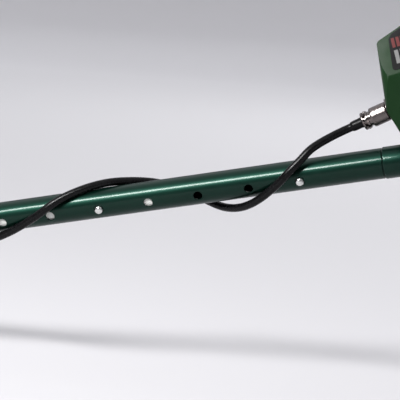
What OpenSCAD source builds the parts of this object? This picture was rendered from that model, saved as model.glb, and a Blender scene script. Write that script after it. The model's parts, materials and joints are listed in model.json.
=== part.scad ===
// Walk-type metal detector: round search coil, telescopic stem, control box on a clamp,
// S-shaped handle tube with foam grip, arm cuff and stand.
// Millimetres, +Z up. The detector stands on its coil and its stand, at Z = 0.
// Stem coordinates: s runs up the stem from the lower button, y is across, n is square to the stem.

/* [Stem] */
// Slope of the stem above the floor, in degrees
stem_angle = 13; // [11:1:14]
// Distance from the coil pivot to the lower button
rod_reach = 400; // [396:1:410]
// Outside diameter of the stem tubes
tube_od = 22.2; // [22.2:0.1:22.3]
// Wall of the stem tubes
tube_wall = 1.2; // [1.1:0.1:1.2]
// Outside diameter of the composite lower rod
rod_od = 19; // [18.9:0.05:19]
// Distance between the length-setting holes
hole_pitch = 38.1; // [38:0.05:38.2]
// Diameter of the length-setting holes
hole_d = 6.6; // [6.5:0.1:6.8]

/* [Search coil] */
// Outside radius of the search coil
coil_r = 105; // [100:1:110]
// Height of the coil pivot above the floor
pivot_h = 40; // [39:1:42]

/* [Handle] */
// Bend radius of the handle tube's centre line
bend_r = 45; // [42:1:50]
// Straight length of the hand grip
grip_len = 110; // [108:1:115]
// Straight length of the rear tube
rear_len = 262; // [258:1:280]
// Outside radius of the foam grip
foam_r = 16.5; // [15:0.5:18]

/* [Arm cuff] */
// Inside radius of the arm cuff
cuff_r = 46; // [44:1:48]
// Length of the arm cuff
cuff_len = 90; // [86:1:92]

/* [Control box] */
// Half of the box's width at its widest line
box_half_w = 38; // [37.5:0.5:39]
// Wall of the box
box_wall = 2.5; // [2.2:0.1:2.6]

/* [Cable] */
// Diameter of the coil cable
cable_d = 6; // [5.5:0.1:6]

/* [Hidden] */
$fn = 64;
tube_r = tube_od / 2;
bore_r = tube_r - tube_wall;
rod_r = rod_od / 2;
rod_bore_r = 7.5;
neck_r = bore_r - 0.1;
neck_bore_r = 8.6;
cable_r = cable_d / 2;

// Stations along the stem
middle_low_end = -215;
middle_top_end = 213;
neck_tip = 123;
rod_top_end = 44;
rod_low_end = -374;
upper_button_s = 4 * hole_pitch;
first_hole = -4;
last_hole = 4;
bend_s = 385;
strap_s = -318;
// The snap buttons and their holes sit this far below the side of the stem
button_turn = 22;
// A collar is swaged into the upper tube just above the middle tube's end
collar_r = tube_r + 0.5;
collar_end = 238;

// Handle angles: down into the grip, then level for the rear tube
grip_angle = -50;
bend_down_a = stem_angle - grip_angle;
bend_up_a = -grip_angle;

// Row frame: X = 0 is midway between the coil's front edge and the tube's end cap
coil_dx = -10;
bend_x = (rod_reach + bend_s) * cos(stem_angle);
bend_z = pivot_h + (rod_reach + bend_s) * sin(stem_angle);
grip_x = bend_x + bend_r * (sin(stem_angle) - sin(grip_angle));
grip_z = bend_z + bend_r * (cos(grip_angle) - cos(stem_angle));
rear_x = grip_x + grip_len * cos(grip_angle) - bend_r * sin(grip_angle);
rear_z = grip_z + grip_len * sin(grip_angle) + bend_r * (cos(grip_angle) - 1);
cap_t = 4;
pivot_x = -(rear_x + rear_len + cap_t + coil_dx - coil_r) / 2;

// Arm cuff and stand, along the rear tube
cuff_at = 206;
saddle_t = 5;
cuff_t = 3;
cuff_axis_z = rear_z + tube_r + saddle_t + cuff_t + cuff_r;
cuff_top_z = cuff_axis_z + 22;
cuff_bolt_gap = 40;
cuff_bolt_r = 2.5;
stand_foot_w = 84;
pad_t = 2;

// Control box outline in stem coordinates [s, n], anticlockwise from the front foot
box_low = 16;
front_s = 224;
box_side = [[233.7, box_low], [317, box_low], [323, 24], [281.4, 114.3], [front_s, 86.5], [front_s, 39.6]];
box_round = 4;
crease_s = front_s;
crease_n = 61.2;
crease_tilt = 7.1;
low_half_w = box_half_w - 11;
top_half_w = box_half_w - 19;
box_front = [[-low_half_w, -66], [low_half_w, -66], [box_half_w, 0], [top_half_w, 60],
             [-top_half_w, 60], [-box_half_w, 0]];
low_lean = atan(11 / 66);
top_lean = atan(19 / 60);
panel_s = 302.2;
panel_n = 69.2;
panel_turn = atan(40 / 87);
panel_t = 2.4;
gasket_t = 0.8;

// Panel controls: the rocker and the lever turn about axes along Y, the needle about the panel's normal
rocker_axis_x = -3;
rocker_throw = 12;
lever_axis_x = -1;
lever_throw = 24;
needle_throw = 76;

// Battery door in the box's front wall
door_half_w = 19;
door_low = 50;
door_high = 79;
door_t = 2.4;
door_gap = 0.4;

// Moving-coil meter's height on the panel, and the speaker and headphone socket on the box's side
meter_z = 22;
speaker_x = 45;
speaker_h = 23;
jack_x = 17;
jack_h = 30;

// Coil plug, on the box's lower front face
plug_s = 225.5;
plug_n = 38;
plug_tilt = 16;
plug_r = 7.1;

// Coil gland, on the coil's top
gland_x = 38;
gland_y = 34;
gland_z = 14.1;

// Cable route round the stem, from the plug down to the middle of the tube:
// [s, angle, distance from the axis]. Angle 0 is level, on the side of the buttons, and 90 is on top.
route_upper = [[200.5, 90, 30.8], [196, 90, 29.5], [191, 90, 28.1], [181, 82, 25.3], [165, 62, 20.9],
    [154.6, 38, 17], [144, 8, 15.5], [133, -24, 14.5], [120, -55, 16], [105, -86, 17.5], [89, -118, 18],
    [74, -151, 17.2], [57, -187, 15.4], [38, -220, 14.7], [20, -247, 14.3], [5, -274, 14.3],
    [-11, -301, 14.4], [-26, -326, 14.8], [-40, -354, 15.5], [-55, -382, 14.5], [-71, -409, 15],
    [-89, -436, 16], [-107, -468, 16]];
// Even turns from there down to the strap, further out over the bushing and closer in on the rod
wound_n = 12;
wound_from = route_upper[len(route_upper) - 1];
wound_step = (strap_s + 12 - wound_from[0]) / wound_n;
wound_turn = (-900 - wound_from[1]) / wound_n;
function wound_r(s) = s > middle_low_end + 25 ? tube_r + cable_r + 1.2
    : s > middle_low_end - 18 ? tube_r + cable_r + 2.7 : rod_r + cable_r + 0.5;
route_wound = [for (i = [1 : wound_n]) let(s = wound_from[0] + i * wound_step)
    [s, wound_from[1] + i * wound_turn, wound_r(s)]];
// Straight along the rod through the strap: up to its middle, and on from there
strap_in = [for (s = [6, 0]) [strap_s + s, -900, wound_r(strap_s)]];
strap_out = [for (s = [0, 7, 14]) [strap_s - s, -900, wound_r(strap_s)]];
// Cable route on to the coil gland: [x, y, z] from the point of the floor under the pivot
route_lower = [[57, 16, 55], [47, 25, 53], [40, 32, 46], [38, 34, 38], [38, 34, 32], [38, 34, 26]];

// ---------- frames ----------
module at_pivot() translate([pivot_x, 0, 0]) children();
module at_stem(s = 0) at_pivot() translate([0, 0, pivot_h]) rotate([0, -stem_angle, 0])
    translate([rod_reach + s, 0, 0]) children();
module after_bend_down(a) translate([0, 0, -bend_r]) rotate([0, a, 0]) translate([0, 0, bend_r]) children();
module after_bend_up(a) translate([0, 0, bend_r]) rotate([0, -a, 0]) translate([0, 0, -bend_r]) children();
module at_grip() at_stem(bend_s) after_bend_down(bend_down_a) children();
module at_rear() at_grip() translate([grip_len, 0, 0]) after_bend_up(bend_up_a) children();
module at_box() at_stem() translate([crease_s, 0, crease_n]) rotate([0, -crease_tilt, 0]) children();
module at_panel(y = 0, z = 0) at_stem() translate([panel_s, 0, panel_n]) rotate([0, -panel_turn, 0])
    translate([0, y, z]) children();
module at_plug() at_stem() translate([plug_s, 0, plug_n]) rotate([0, -plug_tilt, 0]) children();
// Local Z points out of the lower face of the box's +Y side, h below the widest line
module at_low_side(s, h) at_box() translate([s, box_half_w - h * tan(low_lean), -h])
    rotate([-90 - low_lean, 0, 0]) children();

// ---------- shapes ----------
module rod_x(r, x0, x1) translate([x0, 0, 0]) rotate([0, 90, 0]) cylinder(r = r, h = x1 - x0);
module rod_y(r, y0, y1) translate([0, y0, 0]) rotate([-90, 0, 0]) cylinder(r = r, h = y1 - y0);
module tube_x(r, hole, x0, x1) difference() {
    rod_x(r, x0, x1);
    rod_x(hole, x0 - 1, x1 + 1);
}
module block(x0, x1, y0, y1, z0, z1) translate([x0, y0, z0]) cube([x1 - x0, y1 - y0, z1 - z0]);
module turned_x(points) rotate([0, 90, 0]) rotate_extrude() polygon(points);
module bend_down(r, a) translate([0, 0, -bend_r]) rotate([-90, 0, 0]) rotate([0, 0, -90])
    rotate_extrude(angle = a) translate([bend_r, 0]) circle(r = r);
module bend_up(r, a) translate([0, 0, bend_r]) rotate([90, 0, 0]) rotate([0, 0, -90])
    rotate_extrude(angle = a) translate([bend_r, 0]) circle(r = r);

// Outward normal of edge i of an anticlockwise outline
function unit(v) = v / norm(v);
function edge_normal(p, i) = let(e = unit(p[(i + 1) % len(p)] - p[i])) [e[1], -e[0]];
function corner_in(p, i, d) = let(a = edge_normal(p, (i + len(p) - 1) % len(p)), b = edge_normal(p, i))
    p[i] - d * (a + b) / (1 + a * b);
function inset(p, d) = [for (i = [0 : len(p) - 1]) corner_in(p, i, d)];
function rounded(p, r, steps = 6) = [for (i = [0 : len(p) - 1])
    let(a = edge_normal(p, (i + len(p) - 1) % len(p)), b = edge_normal(p, i),
        from = atan2(a[1], a[0]), turn = acos(a * b), c = corner_in(p, i, r))
    for (k = [0 : steps]) c + r * [cos(from + turn * k / steps), sin(from + turn * k / steps)]];

// Cable routes
function stem_point(q) = let(y = -q[2] * cos(q[1]), n = q[2] * sin(q[1]), x = rod_reach + q[0])
    [x * cos(stem_angle) - n * sin(stem_angle), y, pivot_h + x * sin(stem_angle) + n * cos(stem_angle)];
function catmull(a, b, c, d, t) = 0.5 * (2 * b + (c - a) * t + (2 * a - 5 * b + 4 * c - d) * t * t
    + (3 * b - a - 3 * c + d) * t * t * t);
function pick(p, i) = p[max(0, min(len(p) - 1, i))];
function smooth(p, steps) = concat([for (i = [0 : len(p) - 2]) for (k = [0 : steps - 1])
    catmull(pick(p, i - 1), p[i], p[i + 1], pick(p, i + 2), k / steps)], [p[len(p) - 1]]);
function heading(p, i) = unit(pick(p, i + 1) - pick(p, i - 1));
upper_line = [for (q = smooth(concat(route_upper, route_wound, strap_in), 2)) stem_point(q)];
lower_line = smooth(concat([for (q = strap_out) stem_point(q)], route_lower), 2);
module cable_tube(line, side_hint, sides = 10) {
    count = len(line);
    rings = [for (i = [0 : count - 1])
        let(t = heading(line, i), u = unit(cross(t, side_hint)), v = cross(t, u))
        for (k = [0 : sides - 1]) line[i] + cable_r * (cos(360 * k / sides) * u + sin(360 * k / sides) * v)];
    walls = [for (i = [0 : count - 2]) for (k = [0 : sides - 1]) let(m = (k + 1) % sides)
        [i * sides + k, i * sides + m, (i + 1) * sides + m, (i + 1) * sides + k]];
    first_cap = [for (k = [0 : sides - 1]) sides - 1 - k];
    last_cap = [for (k = [0 : sides - 1]) (count - 1) * sides + k];
    polyhedron(rings, concat(walls, [first_cap, last_cap]));
}

// ---------- search coil ----------
module coil_disc(points) at_pivot() translate([coil_dx, 0, 0]) rotate_extrude($fn = 128) polygon(points);
module coil_skid_plate() color("#1a1b1d") coil_disc([[0, 0], [coil_r - 1.5, 0], [coil_r, 1.5], [coil_r, 7],
    [coil_r - 1.5, 7], [coil_r - 1.5, 2], [0, 2]]);
module coil_bottom_shell() color("#232528") coil_disc([[0, 2.05], [coil_r - 1.7, 2.05], [coil_r - 1.7, 10],
    [coil_r - 4, 10], [coil_r - 4, 4.5], [0, 4.5]]);
module coil_top_shell() color("#26282b") difference() {
    union() {
        coil_disc([[coil_r - 1.7, 10.05], [coil_r - 1.7, 14], [coil_r - 3.4, 18], [coil_r - 7, 20.4],
            [coil_r - 12, 21], [coil_r - 22, 21], [coil_r - 27, 19.4], [coil_r - 31, 14], [38, 14],
            [34, 18], [0, 18], [0, 15.4], [32, 15.4], [36, 11.4], [coil_r - 32, 11.4],
            [coil_r - 25, 18.4], [coil_r - 12, 18.4], [coil_r - 5, 14], [coil_r - 5, 10.05]]);
        for (side = [-1, 1]) at_pivot() {
            translate([0, 0, pivot_h]) rod_y(12, side * 14.7 - 3.5, side * 14.7 + 3.5);
            block(-12, 12, side * 14.7 - 3.5, side * 14.7 + 3.5, 16, pivot_h);
            block(-22, 22, side * 14.7 - 2, side * 14.7 + 2, 16, 22);
        }
    }
    at_pivot() translate([0, 0, pivot_h]) rod_y(4.05, -25, 25);
    at_pivot() translate([gland_x, gland_y, 5]) cylinder(r = 5.1, h = 12);
}
module winding(r0, r1, z0, z1) coil_disc([[r0, z0], [r1, z0], [r1, z1], [r0, z1]]);
module transmit_winding() color("#b4642c") winding(coil_r - 18, coil_r - 13.5, 8, 13);
module receive_winding() color("#b4642c") winding(44, 47, 5.5, 9.5);
module coil_gland() color("#17181a") at_pivot() translate([gland_x, gland_y, gland_z]) {
    difference() {
        union() {
            cylinder(r = 9.5, h = 5, $fn = 6);
            rotate_extrude() polygon([[0, -7], [5, -7], [5, 0], [8.2, 0], [8.2, 6], [6.6, 9], [5.2, 20],
                [4.6, 22], [0, 22]]);
        }
        translate([0, 0, -8]) cylinder(r = cable_r + 0.25, h = 40);
    }
}
module pivot_bolt() color("#141517") at_pivot() translate([0, 0, pivot_h]) {
    rod_y(4, -19, 31);
    translate([0, -18.3, 0]) rotate([90, 0, 0]) rotate_extrude()
        polygon([[0, 0], [9, 0], [9, 2.6], [7.6, 4.2], [0, 5]]);
}
module friction_washers() color("#3a3b3d") at_pivot() translate([0, 0, pivot_h])
    for (side = [-1, 1]) difference() {
        rod_y(11, side * 9.6 - 1.55, side * 9.6 + 1.55);
        rod_y(4.4, -13, 13);
    }
module pivot_nut() color("#141517") at_pivot() translate([0, 18.4, pivot_h]) difference() {
    union() {
        rotate([-90, 0, 0]) rotate_extrude() polygon([[0, 0], [9, 0], [9, 1.5], [7, 3], [6.5, 12], [0, 12]]);
        for (turn = [0, 180]) rotate([0, turn, 0]) {
            block(4, 17, 4, 12, -2, 2);
            translate([17, 0, 0]) rod_y(3.4, 3, 13);
        }
    }
    rod_y(4.05, -1, 20);
}

// ---------- lower rod ----------
module rod_end() color("#1c1d1f") at_stem(-rod_reach) difference() {
    union() {
        rod_y(12, -8, 8);
        block(0, 20, -8, 8, -9, 9);
        rod_x(rod_r, 17, 26);
        rod_x(rod_bore_r - 0.02, 26, 52);
    }
    rod_y(4.05, -10, 10);
}
module button_hole(r, y_far) rotate([90 + button_turn, 0, 0]) cylinder(r = r, h = y_far);
module lower_rod() color("#c9ccca") at_stem() difference() {
    rod_x(rod_r, rod_low_end, rod_top_end);
    rod_x(rod_bore_r, rod_low_end - 1, rod_top_end + 1);
    button_hole(3.2, 12);
}
// A dome-headed pin with a flange inside the tube at flange_y
module spring_button(flange_y) rotate([90 + button_turn, 0, 0]) rotate_extrude()
    polygon(concat([[0, flange_y - 1.1], [3.8, flange_y - 1.1], [3.8, flange_y], [3.1, flange_y]],
        [for (a = [0 : 15 : 90]) [3.1 * cos(a), 11.4 + 2.2 * sin(a)]]));
// A leaf spring bent into a V, with its open end at the button
module spring_clip(near_y, far_y) rotate([button_turn, 0, 0]) translate([0, 0, -4]) linear_extrude(8)
    polygon([[5, -near_y], [-34, -3.2], [-36.4, -2], [-37, 0], [-36.4, 2], [-34, 3.2], [5, far_y],
        [5, far_y - 0.8], [-34, 2.4], [-35.8, 1.4], [-36.2, 0], [-35.8, -1.4], [-34, -2.4],
        [5, 0.8 - near_y]]);
module lower_button() color("#c4c6c8") at_stem() spring_button(6.3);
module lower_spring_clip() color("#9a9da1") at_stem() spring_clip(5.1, 5.4);
module cable_strap() color("#1b1b1d") at_stem(strap_s) rotate([90, 0, 90]) difference() {
    linear_extrude(18, center = true) hull() {
        circle(r = rod_r + 1.8, $fn = 32);
        translate([13, 0]) circle(r = cable_r + 2.1, $fn = 32);
    }
    linear_extrude(20, center = true) hull() {
        circle(r = rod_r + 0.1, $fn = 32);
        translate([13, 0]) circle(r = cable_r + 0.5, $fn = 32);
    }
}

// ---------- stem ----------
module middle_tube() color("#163d2c") at_stem() difference() {
    rod_x(tube_r, middle_low_end, middle_top_end);
    rod_x(bore_r, middle_low_end - 1, middle_top_end + 1);
    for (i = [first_hole : last_hole]) translate([i * hole_pitch, 0, 0]) rotate([button_turn, 0, 0])
        rod_y(hole_d / 2, -20, 20);
}
module middle_bushing() color("#1a1b1c") at_stem(middle_low_end) rotate([0, 90, 0]) rotate_extrude()
    polygon([[rod_r + 0.08, -8], [tube_r + 0.9, -8], [tube_r + 1.9, -6.5], [tube_r + 1.9, 10],
        [tube_r + 1.2, 12], [tube_r + 0.02, 12], [tube_r + 0.02, 0], [rod_r + 0.08, 0]]);
// The run under the grip is a touch thicker by d and reaches into both bends, so the three pieces join
module handle_run(r, d, extra) {
    at_stem(bend_s) bend_down(r, bend_down_a);
    at_grip() rod_x(r + d, -2, grip_len + 2);
    at_rear() {
        mirror([1, 0, 0]) bend_up(r, bend_up_a);
        rod_x(r, 0, rear_len + extra);
    }
}
module upper_tube() color("#163d2c") difference() {
    union() {
        at_stem() turned_x([[0, neck_tip], [neck_r - 0.8, neck_tip], [neck_r, neck_tip + 1],
            [neck_r, middle_top_end + 0.6], [collar_r - 0.4, middle_top_end + 0.6],
            [collar_r, middle_top_end + 1.4], [collar_r, collar_end - 1], [tube_r, collar_end],
            [tube_r, bend_s], [0, bend_s]]);
        handle_run(tube_r, 0.15, 0);
    }
    at_stem() turned_x([[0, neck_tip - 1], [neck_bore_r, neck_tip - 1], [neck_bore_r, middle_top_end + 1.5],
        [bore_r, middle_top_end + 6], [bore_r, bend_s], [0, bend_s]]);
    handle_run(bore_r, -0.15, 1);
    at_stem(upper_button_s) button_hole(3.2, 12);
    cuff_bolt_places() translate([0, 0, -tube_r - 1]) cylinder(r = cuff_bolt_r + 0.1, h = 2 * tube_r + 2);
}
module upper_button() color("#c4c6c8") at_stem(upper_button_s) spring_button(7.4);
module upper_spring_clip() color("#9a9da1") at_stem(upper_button_s) mirror([1, 0, 0]) spring_clip(6.2, 6.4);
module tube_end_cap() color("#17181a") at_rear() translate([rear_len, 0, 0])
    turned_x([[0, -14], [bore_r - 0.5, -14], [bore_r - 0.02, -12], [bore_r - 0.02, 0], [tube_r + 0.6, 0],
        [tube_r + 0.6, 2.2], [tube_r - 1.4, cap_t], [0, cap_t]]);
module foam_grip() color("#1d1d1f") at_grip() turned_x([[tube_r + 0.2, 3], [foam_r - 2, 3], [foam_r, 5.5],
    [foam_r, grip_len - 5.5], [foam_r - 2, grip_len - 3], [tube_r + 0.2, grip_len - 3]]);

// ---------- arm cuff and stand ----------
module cuff_bolt_places() for (side = [-1, 1]) at_rear() translate([cuff_at + side * cuff_bolt_gap / 2, 0, 0])
    children();
// The cuff's cross-section: a bowl with straight upright sides
module cuff_profile(r, low, top) {
    intersection() {
        circle(r = r);
        translate([-r, -r]) square([2 * r, r - low]);
    }
    translate([-r, -low]) square([2 * r, top + low]);
}
module along_cuff(length) at_rear() translate([cuff_at - length / 2, 0, cuff_axis_z - rear_z])
    rotate([90, 0, 90]) linear_extrude(length) children();
module arm_cuff() color("#1b1d1f") difference() {
    along_cuff(cuff_len) difference() {
        cuff_profile(cuff_r + cuff_t, 0, cuff_top_z - cuff_axis_z);
        cuff_profile(cuff_r, 0, cuff_top_z - cuff_axis_z + 1);
    }
    at_rear() for (end = [-1, 1]) translate([cuff_at + end * cuff_len / 2, -60, cuff_axis_z - rear_z + 30])
        rotate([-90, 0, 0]) cylinder(r = 22, h = 120);
    cuff_bolt_places() cylinder(r = cuff_bolt_r + 0.1, h = 40);
}
module cuff_pad() color("#222224") difference() {
    along_cuff(cuff_len - 10) intersection() {
        difference() {
            circle(r = cuff_r - 0.05);
            circle(r = cuff_r - 3);
        }
        translate([-40, -cuff_r - 1]) square([80, 30]);
    }
    cuff_bolt_places() cylinder(r = 5.5, h = 40);
}
module cuff_saddle() color("#17181a") difference() {
    at_rear() block(cuff_at - 32, cuff_at + 32, -14, 14, 4, 22);
    at_rear() rod_x(tube_r + 0.02, cuff_at - 40, cuff_at + 40);
    at_rear() translate([0, 0, cuff_axis_z - rear_z])
        rod_x(cuff_r + cuff_t + 0.02, cuff_at - 40, cuff_at + 40);
    cuff_bolt_places() cylinder(r = cuff_bolt_r + 0.1, h = 40);
}
module cuff_stand() color("#17181a") difference() {
    union() {
        at_rear() block(cuff_at - 32, cuff_at + 32, -14, 14, -20, -3);
        at_rear() hull() {
            block(cuff_at - 28, cuff_at + 28, -11, 11, -22, -19);
            block(cuff_at - 11, cuff_at + 11, -26, 26, 9 - rear_z, 10 - rear_z);
        }
        at_rear() hull() for (y = [-1, 1]) translate([cuff_at, y * (stand_foot_w / 2 - 17), pad_t - rear_z])
            cylinder(r = 17, h = 7.5, $fn = 32);
    }
    at_rear() rod_x(tube_r + 0.02, cuff_at - 40, cuff_at + 40);
    cuff_bolt_places() {
        translate([0, 0, -40]) cylinder(r = cuff_bolt_r + 0.1, h = 40);
        translate([0, 0, -60]) cylinder(r = 5.2, h = 43.5);
    }
}
module stand_pads() color("#0f0f10") for (y = [-1, 1]) at_rear()
    translate([cuff_at, y * (stand_foot_w / 2 - 17), -rear_z]) cylinder(r = 13, h = pad_t);
module cuff_bolts() color("#b9bcc0") cuff_bolt_places() {
    translate([0, 0, -21]) cylinder(r = cuff_bolt_r, h = 41.5);
    translate([0, 0, tube_r + saddle_t + cuff_t]) rotate_extrude() polygon([[0, 0.1], [4.6, 0.1], [4.2, 1.4],
        [2.8, 2.4], [0, 2.8]]);
}
module cuff_nuts() color("#b9bcc0") cuff_bolt_places() translate([0, 0, -20.6]) difference() {
    cylinder(r = 4.5, h = 4, $fn = 6);
    translate([0, 0, -1]) cylinder(r = cuff_bolt_r, h = 6);
}

// ---------- control box ----------
module side_prism(points, half_w) rotate([90, 0, 0]) translate([0, 0, -half_w]) linear_extrude(2 * half_w)
    polygon(points);
module front_prism(points) translate([crease_s, 0, crease_n]) rotate([0, -crease_tilt, 0])
    translate([-60, 0, 0]) rotate([90, 0, 90]) linear_extrude(240) polygon(points);
module plan_prism(front, back, half_w, r) linear_extrude(160)
    polygon(rounded([[front, -half_w], [back, -half_w], [back, half_w], [front, half_w]], r));
module box_solid(d) intersection() {
    side_prism(rounded(inset(box_side, d), max(0.5, box_round - d)), 60);
    front_prism(rounded(inset(box_front, d), max(0.5, 3 - d)));
    plan_prism(front_s + d, 340, box_half_w + 0.2 - d, max(1, 8 - d));
}
// Everything behind the panel's plane, moved out by d
module behind_panel(d) translate([panel_s, 0, panel_n]) rotate([0, -panel_turn, 0])
    block(-200, d, -60, 60, -120, 120);
module door_opening(gap, depth) block(front_s - 1, front_s + depth, -door_half_w - gap,
    door_half_w + gap, door_low - gap, door_high + gap);
// Corner blocks that the panel screws bite into
module screw_bosses() intersection() {
    at_stem() box_solid(1);
    for (side = [0, 1]) mirror([0, side, 0]) at_panel() {
        block(-13, -panel_t - gasket_t, 14.5, 45, 39, 55);
        block(-13, -panel_t - gasket_t, 20.4, 45, -55, -38.5);
    }
}
module box_shell() color("#2c6b3a") difference() {
    union() {
        at_stem() intersection() {
            difference() {
                box_solid(0);
                box_solid(box_wall);
            }
            behind_panel(-panel_t - gasket_t);
        }
        screw_bosses();
    }
    panel_screw_places() rod_x(1.52, -9, 0);
    at_stem() door_opening(door_gap, 6);
    at_plug() rod_x(6.05, -5, 12);
    at_low_side(speaker_x, speaker_h) translate([0, 0, -6]) cylinder(r = 15, h = 12);
    at_low_side(jack_x, jack_h) translate([0, 0, -6]) cylinder(r = 5.05, h = 12);
    saddle_screw_places() cylinder(r = 1.7, h = 12);
}
module panel_gasket() color("#111112") at_stem() intersection() {
    difference() {
        box_solid(0.6);
        for (d = [0, 1.5]) translate(d * [cos(panel_turn), 0, sin(panel_turn)]) box_solid(box_wall);
    }
    behind_panel(-panel_t);
    translate([panel_s, 0, panel_n]) rotate([0, -panel_turn, 0])
        block(-panel_t - gasket_t, 0, -60, 60, -60, 60);
}
module panel_cutouts() {
    at_panel(0, meter_z) block(-4, 4, -19.05, 19.05, -14.05, 14.05);
    for (y = [-15, 15]) at_panel(y, -8) rod_x(4.05, -4, 4);
    at_panel(-13, -33) block(-4, 4, -6.9, 6.9, -9.9, 9.9);
    at_panel(13, -33) rod_x(3.65, -4, 4);
    panel_screw_places() rod_x(1.6, -4, 4);
}
module panel_screw_places() {
    for (y = [-18, 18]) at_panel(y, 42) children();
    for (y = [-24.5, 24.5]) at_panel(y, -42) children();
}
module control_panel() color("#255c33") difference() {
    at_stem() intersection() {
        box_solid(0);
        translate([panel_s, 0, panel_n]) rotate([0, -panel_turn, 0]) block(-panel_t, 0, -60, 60, -60, 60);
    }
    panel_cutouts();
}
module panel_overlay() color("#0e0f10") difference() {
    at_panel() rotate([90, 0, 90]) linear_extrude(0.5)
        polygon(rounded([[-27.5, -46], [27.5, -46], [33.5, 6], [22, 46], [-22, 46], [-33.5, 6]], 3));
    panel_cutouts();
}
module panel_screws() color("#c0c3c6") panel_screw_places() difference() {
    union() {
        turned_x([[0, 0.5], [3, 0.5], [2.6, 1.6], [1.5, 2.1], [0, 2.2]]);
        rod_x(1.5, -8, 1);
    }
    block(1.4, 3, -2, 2, -0.35, 0.35);
    block(1.4, 3, -0.35, 0.35, -2, 2);
}
module side_labels() color("#0c0d0d") for (side = [0, 1]) at_box() mirror([0, side, 0])
    translate([0, -box_half_w, 0]) rotate([90 - top_lean, 0, 0]) linear_extrude(0.3)
    polygon(rounded([[9.8, 2.9], [68, 2.9], [55.5, 43.2], [14.8, 29.3], [11.9, 26.2]], 2));
module saddle_screw_places() for (s = [249, 301], y = [-8, 8]) at_stem() translate([s, y, 12]) children();
module box_saddle() color("#17181a") difference() {
    at_stem() block(242, 312, -25, 25, 0.5, box_low - 0.02);
    at_stem() rod_x(tube_r + 0.02, 239, 320);
    clamp_bolt_places() translate([0, 0, -20]) cylinder(r = 2.05, h = 33);
    saddle_screw_places() translate([0, 0, -5]) cylinder(r = 1.7, h = 12);
}
module clamp_bolt_places() for (s = [255, 299], y = [-18.5, 18.5]) at_stem() translate([s, y, 0]) children();
module clamp_straps() color("#17181a") difference() {
    at_stem() for (s = [255, 299]) {
        difference() {
            rod_x(15, s - 8, s + 8);
            block(s - 9, s + 9, -20, 20, -0.5, 20);
        }
        block(s - 8, s + 8, -25, 25, -5, -0.5);
    }
    at_stem() rod_x(tube_r + 0.02, 239, 320);
    clamp_bolt_places() translate([0, 0, -20]) cylinder(r = 2.1, h = 30);
}
module clamp_bolts() color("#b9bcc0") clamp_bolt_places() {
    translate([0, 0, -6]) cylinder(r = 2, h = 17);
    translate([0, 0, -5]) mirror([0, 0, 1]) rotate_extrude()
        polygon([[0, 0], [3.8, 0], [3.8, 2], [2.6, 3.2], [0, 3.4]]);
}

// ---------- inside the box ----------
module circuit_board() color("#1f6b3d") difference() {
    at_panel() block(-15, -13.4, -27, 27, -34, 34);
    for (y = [-22, 22], z = [-30, 30]) at_panel(y, z) rod_x(1.6, -17, -12);
}
module board_parts() color("#2a2a2c") at_panel() {
    block(-18, -15, -8, 8, -4, 8);
    block(-17.5, -15, 12, 22, 1, 11);
    block(-17.5, -15, -22, -12, 1, 11);
    for (z = [-26 : 8 : -10]) translate([0, 14, z]) rod_x(3, -23, -15);
    for (z = [-26, -18]) translate([0, -14, z]) rod_x(2.5, -21, -15);
}
module batteries() color("#8d9093") at_stem() for (side = [-1, 1]) {
    block(227.6, 274.1, side * 9 - 8.6, side * 9 + 8.6, 51.4, 77.4);
    translate([0, side * 9, 58]) rod_x(4, 274.1, 276.1);
    translate([0, side * 9, 71]) rod_x(3, 274.1, 276.1);
}
module battery_tray() color("#1c1d1e") at_stem() {
    block(227.2, 279.4, -19, 19, 49.2, 51);
    block(277.4, 279.4, -19, 19, 51, 76.4);
}
module battery_door() color("#255c33") at_stem() {
    difference() {
        block(front_s, front_s + door_t, -door_half_w, door_half_w, door_low + 1.2, door_high);
        for (n = [4.4, 7.4]) block(front_s - 1, front_s + 0.6, -10, 10, door_high - n - 1.6, door_high - n);
    }
    translate([front_s + door_t / 2, 0, door_low + 1.2]) rod_y(door_t / 2, -door_half_w, door_half_w);
}
module speaker() color("#4a4b4d") at_low_side(speaker_x, speaker_h) {
    translate([0, 0, -box_wall - 2.6]) difference() {
        cylinder(r = 17, h = 2.4);
        translate([0, 0, -1]) cylinder(r = 13, h = 5);
    }
    translate([0, 0, -box_wall - 8]) rotate_extrude()
        polygon([[0, 0], [8, 0], [13.2, 5.4], [13.2, 7], [12, 7], [7, 2], [0, 2]]);
    translate([0, 0, -box_wall - 12]) cylinder(r = 9, h = 4.2);
}
module speaker_grille() color("#141516") at_low_side(speaker_x, speaker_h) difference() {
    rotate_extrude()
        polygon([[0, -1.4], [14.9, -1.4], [14.9, 0.05], [17.5, 0.05], [17.5, 0.8], [16, 1.6], [0, 1.6]]);
    for (x = [-10 : 5 : 10]) translate([x - 1, -sqrt(144 - x * x), -3])
        cube([2, 2 * sqrt(144 - x * x), 8]);
}
module headphone_socket() color("#1c1d1f") at_low_side(jack_x, jack_h) difference() {
    union() {
        translate([0, 0, -16]) cylinder(r = 5, h = 18);
        translate([0, 0, 0.3]) cylinder(r = 7.5, h = 2.2);
        translate([0, 0, -18]) cylinder(r = 7, h = 6);
    }
    translate([0, 0, -14]) cylinder(r = 3.2, h = 20);
}
module meter_case() color("#131415") difference() {
    at_panel(0, meter_z) {
        block(-11, 0.2, -19, 19, -14, 14);
        rotate([90, 0, 90]) translate([0, 0, 0.5]) linear_extrude(4)
            polygon(rounded([[-21.5, -16], [21.5, -16], [21.5, 16], [-21.5, 16]], 3));
        block(-1, 0.6, -18.8, 18.8, -13.8, 13.8);
    }
    at_panel(0, meter_z) block(-9, 6, -17, 17, -12, 12);
}
module meter_dial() color("#e8e6da") at_panel(0, meter_z) {
    block(-3, -2.2, -16.9, 16.9, -11.9, 11.9);
    block(-9, -3, -4, 4, -11.9, -4);
}
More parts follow.
